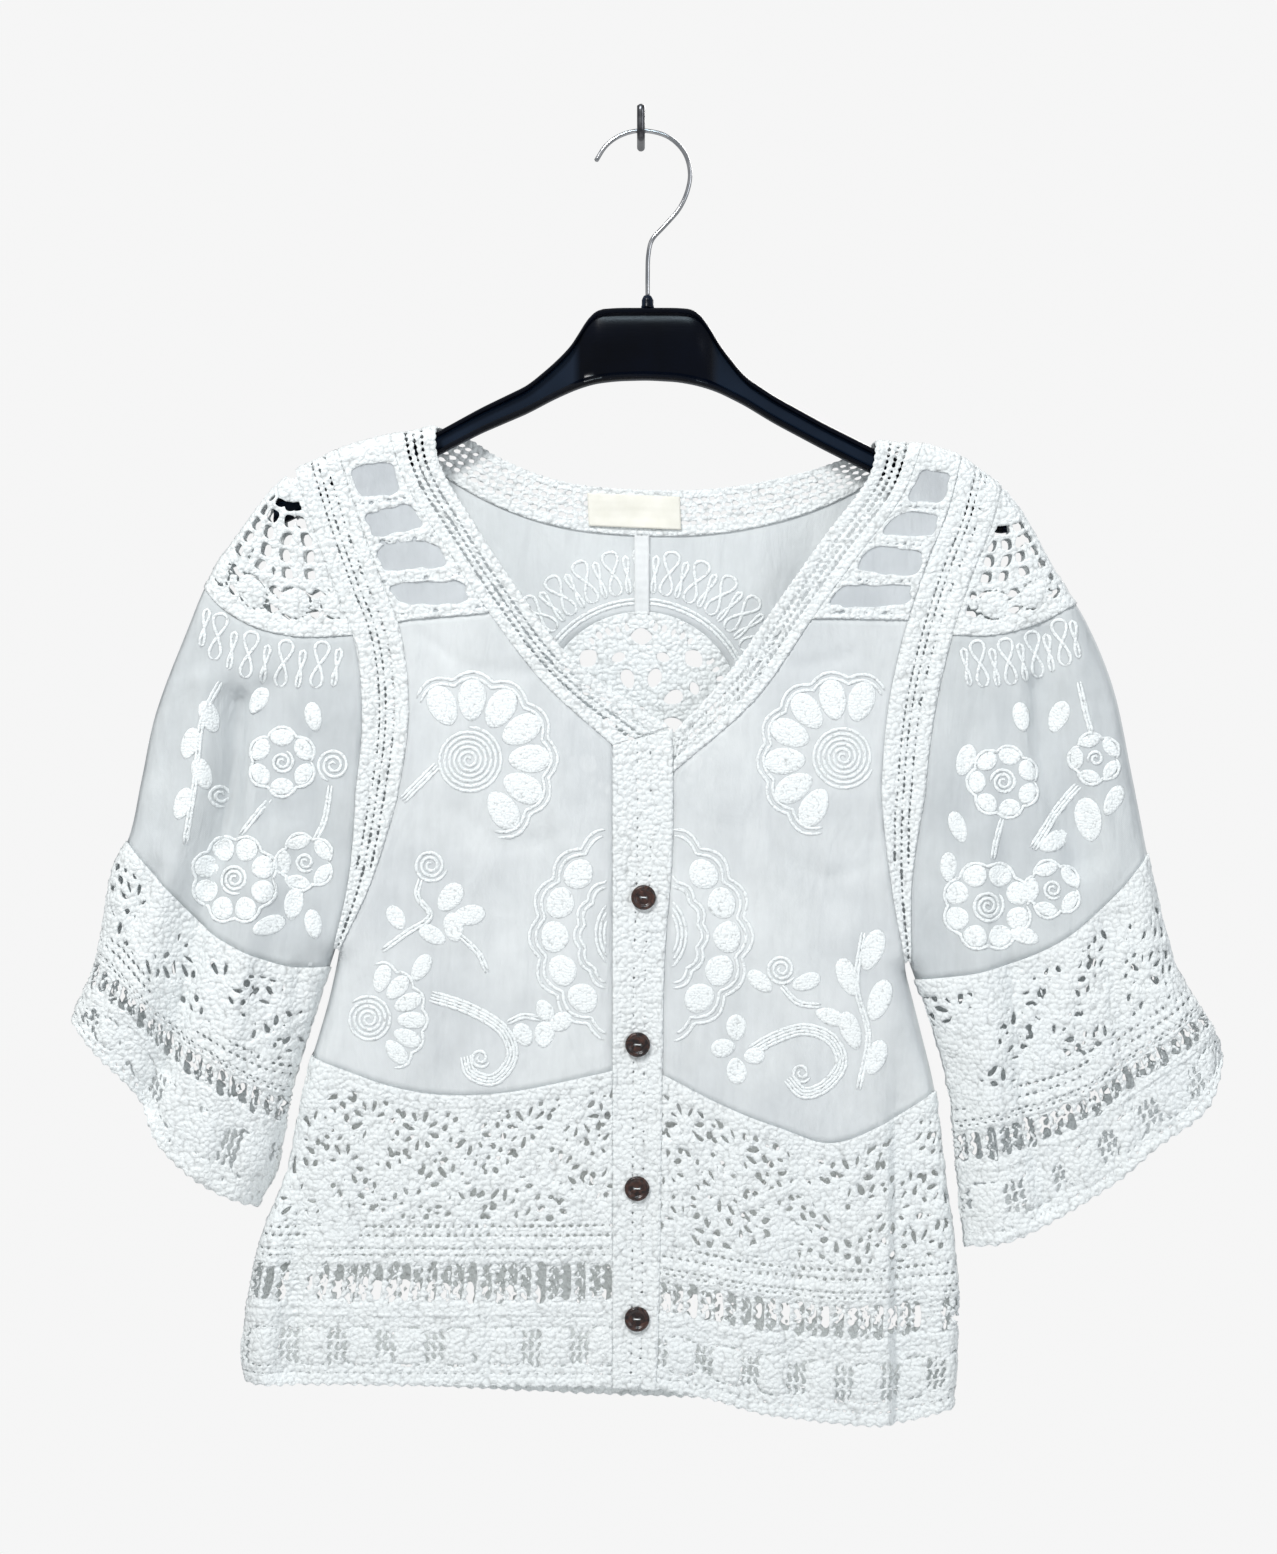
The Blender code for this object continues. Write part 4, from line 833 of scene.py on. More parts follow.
def plastic_material():
    """Moulded plastic, polished blue-black on the rims and head and duller navy on the recessed web."""
    made, tree, place = new_material("moulded_plastic")
    cloud = noise(tree, place, 30.0, 4.0)
    scratch = noise(tree, stretched(tree, place, (0.1, 1.0, 1.0)), 900.0, 4.0)
    across = add_node(tree, "ShaderNodeSeparateXYZ", {"Vector": place}).outputs["Y"]
    depth = combine(tree, "ABSOLUTE", combine(tree, "SUBTRACT", across, HANGER_Y * MM))
    polish = spread(tree, depth, 0.0, 1.0, 0.0024, 0.0036)
    web = colour_mix(tree, cloud, (0.0035, 0.0085, 0.019), (0.006, 0.0135, 0.029))
    rim = colour_mix(tree, cloud, (0.0002, 0.0006, 0.002), (0.0006, 0.0018, 0.006))
    return shade(made, {"Specular IOR Level": 0.12, "Base Color": blend(tree, polish, web, rim),
                        "Roughness": spread(tree, polish, 0.42, spread(tree, scratch, 0.14, 0.28)),
                        "Normal": bump(tree, scratch, 0.06, 0.0002)})


def mottled_material(name, scale, detail, low, high, roughness, metallic=0.0, distortion=0.0,
                     span=(0.3, 0.7)):
    """Two colours clouded together; a pair of roughnesses follows the same cloud."""
    made, tree, place = new_material(name)
    cloud = noise(tree, place, scale, detail, distortion)
    rough = spread(tree, cloud, *roughness) if isinstance(roughness, tuple) else roughness
    return shade(made, {"Base Color": colour_mix(tree, cloud, low, high, span), "Roughness": rough,
                        "Metallic": metallic})


def label_material():
    """Cream satin tape with a fine rib."""
    made, tree, place = new_material("satin_label")
    upright = add_node(tree, "ShaderNodeSeparateXYZ", {"Vector": place}).outputs["Z"]
    rib = combine(tree, "SINE", combine(tree, "MULTIPLY", upright, 9000.0))
    colour = colour_mix(tree, noise(tree, place, 120.0, 3.0), (0.80, 0.79, 0.71), (0.86, 0.85, 0.78))
    return shade(made, {"Roughness": 0.5, "Base Color": colour, "Normal": bump(tree, rib, 0.4, 0.0001)})


YARN = (0.895, 0.93, 0.932)
COTTON = crochet_material("cotton_crochet", YARN, alpha=0.93)
CORD = crochet_material("corded_stitch", YARN, 620.0, 0.5)
VOILE = voile_material("cotton_voile", (0.845, 0.88, 0.893), 0.74)
# painted shade: the same voile in a darker tint, used on the sleeves and the upper back
SHADED_VOILE = voile_material("cotton_voile_painted_shade", (0.76, 0.80, 0.815), 0.72)
# painted shade: a thinner voile in a darker tint, standing for the shade seen through the yoke's windows
THIN_SHADED_VOILE = voile_material("cotton_voile_windows_painted_shade", (0.74, 0.78, 0.81), 0.60)
SEAM_VOILE = voile_material("cotton_voile_doubled", (0.90, 0.93, 0.94), 0.90)
PLASTIC = plastic_material()
CHROME = mottled_material("plated_wire", 160.0, 2.0, (0.33, 0.34, 0.36), (0.48, 0.48, 0.49), (0.1, 0.28), 1.0)
DARK_METAL = mottled_material("blackened_wire", 220.0, 3.0, (0.05, 0.05, 0.055), (0.14, 0.14, 0.15), 0.3, 1.0)
BUTTON = mottled_material("dark_horn", 180.0, 4.0, (0.012, 0.007, 0.007), (0.085, 0.035, 0.024),
                          (0.14, 0.34), 0.0, 1.6, (0.4, 0.75))
SATIN = label_material()


# pieces of the garment

def dress(item, nodes):
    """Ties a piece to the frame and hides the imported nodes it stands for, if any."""
    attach(item, "root")
    if nodes:
        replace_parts(item, *nodes)
    return item


def patch_size(place, count=9):
    """Widths and heights across a patch, mm, and its flat area in square metres."""
    ends = np.linspace(0, 1, count)
    grid = place(*(g.ravel() for g in np.meshgrid(ends, ends, indexing="ij"))).reshape(count, count, 2)
    across = np.linalg.norm(np.diff(grid, axis=0), axis=2).sum(axis=0)
    down = np.linalg.norm(np.diff(grid, axis=1), axis=2).sum(axis=1)
    p, q = grid[1:, 1:] - grid[:-1, :-1], grid[:-1, 1:] - grid[1:, :-1]
    area = np.abs(p[..., 0] * q[..., 1] - p[..., 1] * q[..., 0]).sum() / 2
    return across, down, area * MM * MM


def width_of(place, count=30):
    """A function that gives the width of a patch at a share of its height."""
    shares = np.linspace(0, 1, count)
    wide = np.linalg.norm(place(np.ones(count), shares) - place(np.zeros(count), shares), axis=1)
    return lambda v: np.interp(v, shares, wide)


FINE = 1.3
LACE_PITCH = 1.25
TRIM_PITCH = 1.45
BACK_PITCH = 2.0
VOILE_PITCH = 4.0
YOKE_HIGH = 110.0
YOKE_WINDOWS = [(0.12, 0.29), (0.37, 0.51), (0.575, 0.73), (0.79, 0.92)]
YOKE_MARGIN = 3.6
ARMHOLE_LENGTH = 318.0
CAP = {"high": 96.0, "columns": (0.16, 0.40, 0.65, 0.88), "disc_pitch": 25.0, "disc_at": 76.0,
       "disc_radius": 9.6, "tape_at": 63.5}
SEEDS = {"left": {"front": 1.0, "arm": 3.0, "sleeve": 5.0},
         "right": {"front": 2.4, "arm": 4.2, "sleeve": 6.3}}
LACE_WIDTH = {"left": {"front": 212.0, "sleeve": 150.0}, "right": {"front": 178.0, "sleeve": 165.0}}
# start and end of the ladder, then how far down and along the border's discs sit, as shares
STRIPS = {"front": (0.28, 0.80, 0.0, 0.0), "back": (0.34, 0.86, 0.05, 0.5)}


def lay(name, finish, place, pitch, pattern, face, thick, node):
    """Cuts and lifts one piece of cloth, ties it to the frame and hides the imported node it stands for."""
    across, down, area = patch_size(place)
    item = cloth(name, finish, place, (across.mean(), down.mean()), pitch, pattern, face, thick)
    return dress(item, [node])


def lace(name, place, pitch, pattern, face, node):
    lay(name, COTTON, place, pitch, pattern, face, CROCHET_THICK, node)


def plain(u, v):
    return np.full(len(u), SOLID), np.zeros(len(u))


def sheer(name, finish, place, face, node, pitch=VOILE_PITCH):
    lay(name, finish, place, pitch, plain, face, VOILE_THICK, node)


def zones(rows, first, left_edge, right_edge):
    """The flowers, the ladder and the border of one side."""
    order = [first, "lace", "ladder", "hem"]
    return [panel(rows[a], rows[b], left_edge, right_edge) for a, b in zip(order, order[1:])]


def build_front(side):
    rows, seed = FRONT_ROWS[side], SEEDS[side]["front"]
    outer, inner = front_edges(side)
    shoulder = cut_curve(OUT[side], outer[0], inner[0])
    left_edge, right_edge = (outer, inner) if side == "left" else (inner, outer)
    shoulder = shoulder if side == "left" else shoulder[::-1]
    yoke = panel(shoulder, rows["yoke"], left_edge, right_edge)
    sheer(f"yoke_{side}", THIN_SHADED_VOILE, yoke, "front", f"front_yoke_{side}", 3.0)
    width = width_of(yoke)

    def net(u, v):
        wide = width(v)
        s, t = (u - 0.5) * wide, v * YOKE_HIGH
        field = np.full(len(u), CLEAR)
        for k, (start, end) in enumerate(YOKE_WINDOWS):
            middle, half = (start + end) / 2 * YOKE_HIGH, (end - start) / 2 * YOKE_HIGH
            bent = t - middle - 1.3 * np.sin(s / 13.0 + 2 * k + seed)
            field = np.minimum(field, gap(s, bent, wide / 2 - YOKE_MARGIN, half, 4.6))
            field = np.minimum(field, hole_rows(s, t, (middle + half + 4.5,), 5.0, 1.2, 0.7, seed + k))
        return field + 0.7 * wobble(s, t, seed, 4.0), 0.5 + rounded(field) + knots(s, t, seed)
    size = (width(np.linspace(0, 1, 30)).mean(), YOKE_HIGH)
    dress(cloth(f"yoke_net_{side}", COTTON, yoke, size, FINE, net, "front", 0.6), ())
    sheer(f"front_sheer_{side}", VOILE, panel(rows["yoke"], rows["tape"], left_edge, right_edge), "front",
          f"front_voile_{side}")
    patches = zones(rows, "tape", left_edge, right_edge)
    lace(f"lace_front_{side}", stack(patches), LACE_PITCH,
         lace_pattern(patches, LACE_WIDTH[side]["front"], seed), "front", f"front_lace_{side}")


def build_bands():
    for side, edges in ARM.items():
        place = ruled(*edges)
        width = width_of(place, 40)

        def pattern(u, v, width=width, seed=SEEDS[side]["arm"]):
            wide = width(v)
            s, t = v * ARMHOLE_LENGTH, (u - 0.5) * wide
            field = hole_rows(s, t, (-4.6, -0.4, 3.8), 4.2, 1.5, 0.95, seed)
            field = np.where(wide < 15, np.maximum(field, np.abs(t) - 3.4), field)
            ridge = 0.5 * crest(np.abs(t), 0.36 * wide, 2.0)
            return field, rounded(field) + ridge + knots(s, t, 1.0)
        for face, pitch in (("front", TRIM_PITCH), ("back", BACK_PITCH)):
            lace(f"armhole_{face}_{side}", place, pitch, pattern, face, f"armhole_band_{face}_{side}")
    for side in NECK_INNER:
        lace(f"neck_{side}", ruled(smooth_curve(NECK_INNER[side]), smooth_curve(NECK_OUTER[side])), FINE,
             band_pattern(1.5, (8.5, 13.0, 17.5), 26.0, 262.0), "front", f"neckband_{side}")
    lace("neck_back", ruled(smooth_curve(BACK_NECK_TOP), smooth_curve(BACK_NECK_LOW)), TRIM_PITCH,
         band_pattern(2.5, (6.0, 10.5, 15.0, 19.5), 27.0, 320.0, 5.6, (2.2, 1.35)), "back", "neckband_back")


def cap_pattern(place, seed):
    """Columns of windows that fan out, a tape, then crochet discs with gaps between them."""
    width = width_of(place)
    at, radius, pitch = CAP["disc_at"], CAP["disc_radius"], CAP["disc_pitch"]

    def pattern(u, v):
        wide = width(v)
        s, t = (u - 0.5) * wide, v * CAP["high"]
        reach = np.min([np.abs((u - column) * wide + 1.2 * np.sin(t / 6.0 + 9 * column))
                        for column in CAP["columns"]], axis=0)
        windows = gap(reach, cell(t, 10.6), 3.1, 3.9, 3.0) + 0.45 * wobble(s, t, seed, 5)
        slits = gap(reach - 7.6, cell(t, 4.6), 0.75, 1.7, 2.0) + 0.3 * wobble(s, t, seed, 4)
        disc_s = cell(s, pitch)
        ring_at = np.hypot(disc_s, t - at)
        small = gap(ring_at - radius, cell(np.arctan2(t - at, disc_s), math.pi / 8) * radius, 0.95, 1.35, 2.0)
        between = gap(np.abs(disc_s) - pitch / 2, np.abs(t - at) - 6.0, 2.6, 2.9, 2.0)
        lower = np.minimum(small, between) + 0.4 * wobble(s, t, seed, 4)
        field = np.where(t < 62, np.where(wide > 22, np.minimum(windows, slits), 3.0), lower)
        edges = (t < 9) | (t > 90) | (np.abs(t - CAP["tape_at"]) < 1.6) | (wide / 2 - np.abs(s) < 3.0)
        field = np.where(edges, 3.0, field)
        raised = 0.7 * np.clip((9.0 - ring_at) / 9.0, 0, 1)**0.6 * (t > 62) + 0.3 * (t > 90)
        return field, rounded(field) + raised + knots(s, t, seed)
    return pattern


def build_sleeve(side):
    rows, seed = SLEEVE_ROWS[side], SEEDS[side]["sleeve"]
    inner, outer = sleeve_edges(side), OUT[side]
    cap = panel(rows["shoulder"], rows["cap"], inner, outer)
    body = panel(rows["cap"], rows["voile"], inner, outer)
    patches = zones(rows, "voile", inner, outer)
    for face, pitch in (("front", FINE), ("back", BACK_PITCH)):
        lace(f"cap_{face}_{side}", cap, pitch, cap_pattern(cap, seed), face, f"sleeve_cap_{face}_{side}")
        sheer(f"sleeve_sheer_{face}_{side}", SHADED_VOILE, body, face, f"sleeve_voile_{face}_{side}")
        pattern = lace_pattern(patches, LACE_WIDTH[side]["sleeve"], seed + (face == "back"), 0.0,
                               STRIPS[face])
        lace(f"lace_sleeve_{face}_{side}", stack(patches), pitch, pattern, face,
             f"sleeve_lace_{face}_{side}")


def ring(start_deg, end_deg, radius, drop=MEDALLION["drop"], steps=60):
    """An arc round the medallion's centre, or round a point straight above or below it."""
    angle = np.radians(np.linspace(start_deg, end_deg, steps))
    return np.stack([MEDALLION["x"] + radius * np.cos(angle), drop - radius * np.sin(angle)], axis=1)


RIM_SHARES = [0, 0.32, 0.37, 0.7, 1]


def build_upper_back():
    """Two sheer halves, each spread from the medallion's rim to neck, shoulder, side and tape."""
    tape = smooth_curve(BACK_ROWS["tape"])
    low_neck = smooth_curve(BACK_NECK_LOW)
    for side, turn in (("left", 1), ("right", -1)):
        outer, _ = front_edges(side)
        neck = cut_curve(low_neck, BACK_SEAM["top"], low_neck[0 if side == "left" else -1])
        shoulder = cut_curve(OUT[side], neck[-1], outer[0])
        foot = tape[0] if side == "left" else tape[-1]
        parts = [neck, shoulder, cut_curve(outer, outer[0], foot), cut_curve(tape, foot, BACK_SEAM["foot"])]
        shares = np.linspace(0, 1, 401)
        rim = np.vstack([along(part, (shares[(shares >= a) & (shares < b)] - a) / (b - a))
                         for part, a, b in zip(parts, RIM_SHARES, RIM_SHARES[1:])] + [parts[-1][-1:]])
        hub = along(ring(90, 90 + turn * 180, MEDALLION["radius"]), shares)

        def place(u, v, hub=hub, rim=rim):
            grid = [np.interp(v, shares, column) for column in (hub[:, 0], hub[:, 1], rim[:, 0], rim[:, 1])]
            return np.stack([(1 - u) * grid[0] + u * grid[2], (1 - u) * grid[1] + u * grid[3]], axis=1)
        item = cloth(f"back_sheer_{side}", SHADED_VOILE, place, (130, 760), 5.5, plain, "back", VOILE_THICK)
        dress(item, [f"back_voile_{side}"])


def build_seam():
    """The doubled cloth of the centre seam above the medallion."""
    seam = np.array([(0.5, 236.0), (0.5, 287.0)])
    strip = ruled(seam - (4.4, 0), seam + (4.6, 0))

    def folded(u, v):
        edge = np.minimum(u, 1 - u)
        return np.full(len(u), SOLID), -1.0 - 0.35 * crest(edge, 0.0, 0.12) + 0.12 * np.sin(v * 60)
    dress(cloth("seam_strip", SEAM_VOILE, strip, (9, 51), 1.5, folded, "back", 0.35), ())


def build_medallion():
    """A round of crochet: petals, stars and fans of holes inside a solid rim."""
    half = MEDALLION["radius"] + 2.0

    def disc(u, v):
        return np.stack([MEDALLION["x"] + (2 * u - 1) * half, MEDALLION["drop"] + (2 * v - 1) * half], axis=1)

    def star(u, v):
        x, y = (2 * u - 1) * half, (2 * v - 1) * half
        r, turn = np.hypot(x, y), np.arctan2(y, x)
        one = 2 * math.pi / MEDALLION["petals"]
        petals = gap(r - 21, cell(turn, one) * 21, 6.0, 4.0, 2.0)
        stars = gap(r - 45, cell(turn, one, 0.5) * 45, 5.2, 6.5, 1.5)
        small = gap(r - 35, cell(turn, one) * 35, 2.8, 4.2, 1.8)
        fan = gap(r - 51.5, cell(turn, one / 7) * 51.5, 2.6, 1.5, 2.2)
        fan = np.where(np.abs(cell(turn, one)) * r < 13, fan, CLEAR)
        eye = np.abs(r) - 2.2
        field = np.minimum(np.minimum(np.minimum(petals, stars), np.minimum(small, fan)), eye)
        field = field + 0.4 * wobble(x, y, 2.0, 5.0)
        field = np.minimum(field, MEDALLION["radius"] - r)
        raised = 0.6 * crest(r, 57, 2.5) + 0.5 * crest(r, 11, 4)
        return field, rounded(field) + raised + knots(x, y, 0.5)
    item = cloth("medallion", COTTON, disc, (2 * half, 2 * half), TRIM_PITCH, star, "back", CROCHET_THICK)
    dress(item, ["back_medallion"])


def build_back():
    build_upper_back()
    build_seam()
    build_medallion()
    patches = zones(BACK_ROWS, "tape", front_edges("left")[0], front_edges("right")[0])
    lace("lace_back", stack(patches), BACK_PITCH,
         lace_pattern(patches, 422.0, 8.1, 0.2, (0.50, 0.93, 0.12, 0.45)), "back", "back_lace")


PLACKET_HIGH = 388.0


def build_placket():
    left, right = smooth_curve(PLACKET["left"]), smooth_curve(PLACKET["right"])
    place = ruled(left, right)

    def stitched(u, v):
        wide = 36.0 - 8.0 * v
        s, t = v * PLACKET_HIGH, u * wide
        field = hole_rows(s, t, (wide * 0.42, wide * 0.62), 5.6, 1.0, 0.8, 7.0)
        field = np.minimum(field, PLACKET_HIGH - 0.8 * np.abs(np.sin(t)) - s + 0.3)
        cord = 1.1 * crest(t, wide - 1.9, 1.5) + 0.7 * crest(t, 1.8, 1.5)
        folded = 0.35 * crest(t, wide * 0.2, 1.2)
        return field, rounded(field, 0.5) + cord + folded + knots(s, t, 7.0)
    lace("placket_over", place, TRIM_PITCH, stitched, "front", "placket_top")
    under = ruled(right - (20, 0), right - (0.5, 0))

    def lower(u, v):
        return np.full(len(u), SOLID), UNDER_LIFT + 0.3 * knots(v * PLACKET_HIGH, u * 20, 2.0)
    item = cloth("placket_under_layer", COTTON, under, (20, PLACKET_HIGH), 2.4, lower, "front", 0.9,
                 (0, 1, 0.03, 0.995))
    dress(item, ["placket_under"])


# corded flowers on the sheer cloth

CORD_WIDE = 2.0
CORD_HIGH = 0.55


def cords(name, paths, width, high, face, step=2.2, lift=0.1):
    """Raised lines of close stitching along paths of (x, drop), as one mesh."""
    offsets = np.array([-0.5, -0.36, 0.0, 0.36, 0.5, 0.0])
    heights = np.array([0.0, 0.7, 1.0, 0.7, 0.0, -0.12])
    count = len(offsets)
    places, lifts, groups, caps = [], [], [], []
    start = 0
    for path in paths:
        path = np.asarray(path, float)
        run = run_of(path)
        n = max(3, int(run[-1] / step) + 1)
        line = along(path, np.linspace(0, 1, n))
        slope = np.gradient(line, axis=0)
        slope /= np.maximum(np.linalg.norm(slope, axis=1), 1e-9)[:, None]
        side = np.stack([-slope[:, 1], slope[:, 0]], axis=1)
        beat = 1 + 0.16 * np.sin(np.arange(n) * 2.1)
        fade = np.minimum(1, (0.35 + np.minimum(np.arange(n), np.arange(n)[::-1]) * 0.4))
        reach = width * beat * fade
        places.append((line[:, None, :] + side[:, None, :] * (offsets[None, :, None] * reach[:, None, None]))
                      .reshape(-1, 2))
        lifts.append((lift + heights[None, :] * high * (beat * fade)[:, None]).ravel())
        i, j = np.meshgrid(np.arange(n - 1), np.arange(count), indexing="ij")
        a, b = start + i * count + j, start + i * count + (j + 1) % count
        groups.append(np.stack([a, b, b + count, a + count], axis=-1).reshape(-1, 4))
        caps.append([start + k for k in reversed(range(count))])
        caps.append([start + (n - 1) * count + k for k in range(count)])
        start += n * count
    points, _ = cloth_point(np.vstack(places), face, np.concatenate(lifts))
    return dress(add_mesh(name, points, [np.vstack(groups), np.array(caps)], CORD), ())


def pads(name, shapes, high, face):
    """Filled petals and leaves: domed ovals of (x, drop, angle, length, width), as one mesh."""
    rings, turns = 4, 18
    angle = 2 * math.pi * np.arange(turns) / turns
    places, lifts, quads, tips = [], [], [], []
    start = 0
    for x, drop, lean, length, width in shapes:
        c, s = math.cos(lean), math.sin(lean)
        for k in range(rings + 1):
            share = (1.0, 0.95, 0.72, 0.4, 0.95)[k]
            level = (0.05, 0.62, 0.95, 1.0, -0.15)[k]
            rib = 1 + 0.10 * np.cos(turns / 2 * angle)
            a = 0.5 * length * share * np.cos(angle) * (1 + 0.12 * np.cos(angle))
            b = 0.5 * width * share * np.sin(angle) * (1 + 0.25 * np.cos(angle))
            places.append(np.stack([x + a * c - b * s, drop - (a * s + b * c)], axis=1))
            lifts.append(np.full(turns, high * level) * (rib if 0 < k < 3 else 1))
        order = [4, 0, 1, 2, 3]
        for p, q in zip(order, order[1:]):
            i = np.arange(turns)
            j = (i + 1) % turns
            quads.append(np.stack([start + p * turns + i, start + p * turns + j, start + q * turns + j,
                                   start + q * turns + i], axis=1))
        tips.append([start + 3 * turns + k for k in range(turns)])
        tips.append([start + 4 * turns + k for k in reversed(range(turns))])
        start += (rings + 1) * turns
    points, _ = cloth_point(np.vstack(places), face, np.concatenate(lifts))
    return dress(add_mesh(name, points, [np.vstack(quads), np.array(tips)], CORD), ())


def spiral(x, drop, start, end, turns, phase=0.0, steps=24):
    """A coil from radius start to end."""
    share = np.linspace(0, 1, int(steps * turns) + 2)
    angle = phase + 2 * math.pi * turns * share
    r = start + (end - start) * share
    return np.stack([x + r * np.cos(angle), drop - r * np.sin(angle)], axis=1)


def scallops(x, drop, radius, depth, petals, from_deg, to_deg, steps=10):
    """A wavy arc that bulges out round each petal."""
    share = np.linspace(0, 1, petals * steps + 1)
    angle = np.radians(from_deg + (to_deg - from_deg) * share)
    r = radius + depth * np.abs(np.sin(math.pi * petals * share))
    return np.stack([x + r * np.cos(angle), drop - r * np.sin(angle)], axis=1)


def flower(x, drop, eye, reach, petals, from_deg, to_deg, outlines=1):
    """Paths and petals of one corded flower: coiled eye, filled petals, scalloped outlines."""
    lines = [spiral(x, drop, 1.2, eye, max(1.5, eye / 3.2))]
    shapes = []
    step = (to_deg - from_deg) / petals
    long = (reach - eye) * 0.74
    middle = eye + 1.8 + long / 2
    wide = middle * math.radians(step) * 0.97
    for k in range(petals):
        angle = math.radians(from_deg + (k + 0.5) * step)
        shapes.append((x + middle * math.cos(angle), drop - middle * math.sin(angle), angle, long, wide))
    for k in range(outlines):
        depth = 0.26 * wide
        base = eye + 3.6 + long - depth + 3.6 * k
        lines.append(scallops(x, drop, base, depth, petals, from_deg, to_deg))
    return lines, shapes


def stem(points):
    return smooth_curve(points, 8)


def ribbon(points, count, spacing=1.9):
    """Cords side by side along one smooth line."""
    line = stem(points)
    slope = np.gradient(line, axis=0)
    slope /= np.linalg.norm(slope, axis=1)[:, None]
    across = np.stack([-slope[:, 1], slope[:, 0]], axis=1)
    return [line + across * spacing * (k - (count - 1) / 2) for k in range(count)]


def leaves(*rows):
    """Ovals from (x, drop, lean in degrees, length, width)."""
    return [(x, drop, math.radians(lean), length, width) for x, drop, lean, length, width in rows]


def gather(*parts):
    lines, shapes = [], []
    for more_lines, more_shapes in parts:
        lines += more_lines
        shapes += more_shapes
    return lines, shapes


def eight(foot, out, long, wide):
    """A figure of eight that stands on its foot, its upper loop the wider one."""
    t = np.linspace(0, 2 * math.pi, 30)
    up = 0.5 - 0.5 * np.cos(t)
    across = np.array([-out[1], out[0]])
    return foot + (long * up)[:, None] * out + (wide * np.sin(2 * t) * (0.8 + 0.35 * up))[:, None] * across


def loops_on_arc(x, drop, inner, outer, from_deg, to_deg, count):
    """Wide and narrow figures of eight that stand round an arc in turn."""
    lines = []
    for k in range(count):
        angle = math.radians(from_deg + (to_deg - from_deg) * (k + 0.5) / count)
        out = np.array([math.cos(angle), -math.sin(angle)])
        lines.append(eight(np.array([x, drop]) + inner * out, out, outer - inner - 4.0 * (k % 2 == 0),
                           4.3 if k % 2 else 1.5))
    return lines


def embroider(name, parts, face):
    """Lays the cords, then the petals if there are any."""
    lines, shapes = parts
    cords(f"{name}_cords", lines, CORD_WIDE, CORD_HIGH, face)
    return pads(f"{name}_petals", shapes, CORD_HIGH * 1.2, face) if shapes else None


def applique(name, parts, node):
    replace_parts(embroider(name, parts, "front"), node)


ROSETTE = {"drop": 479.0, "petals": 7, "petal_at": 50.5, "petal_long": 17.0, "petal_wide": 47.5,
           "rings": (22, 24.5, 27), "scallops": ((34, 2.6), (37.5, 2.6), (58, 5.0), (62, 5.0))}
# start and end in degrees, and how far the placket's edge is from the middle
ROSETTE_HALVES = {"left": (102, 262, -19.0), "right": (-82, 78, 17.0)}


def build_rosette(side, low, high, edge):
    """Half of the flower that the placket divides, cut off beside the placket."""
    drop, petals, reach = ROSETTE["drop"], ROSETTE["petals"], ROSETTE["petal_at"]
    outward = math.copysign(1, edge)
    lines = [ring(low, high, radius, drop) for radius in ROSETTE["rings"]]
    lines += [scallops(0, drop, radius, depth, petals, low, high) for radius, depth in ROSETTE["scallops"]]
    lines = [line[line[:, 0] * outward > abs(edge) + 1.5] for line in lines]
    step = math.radians(high - low) / petals
    angles = [math.radians(low) + (k + 0.5) * step for k in range(petals)]
    shapes = [(reach * math.cos(angle), drop - reach * math.sin(angle), angle, ROSETTE["petal_long"],
               ROSETTE["petal_wide"] * step) for angle in angles]
    shapes = [shape for shape in shapes if shape[0] * outward > abs(edge) + 9]
    applique(f"rosette_{side}", ([line for line in lines if len(line) > 4], shapes),
             f"applique_centre_{side}")


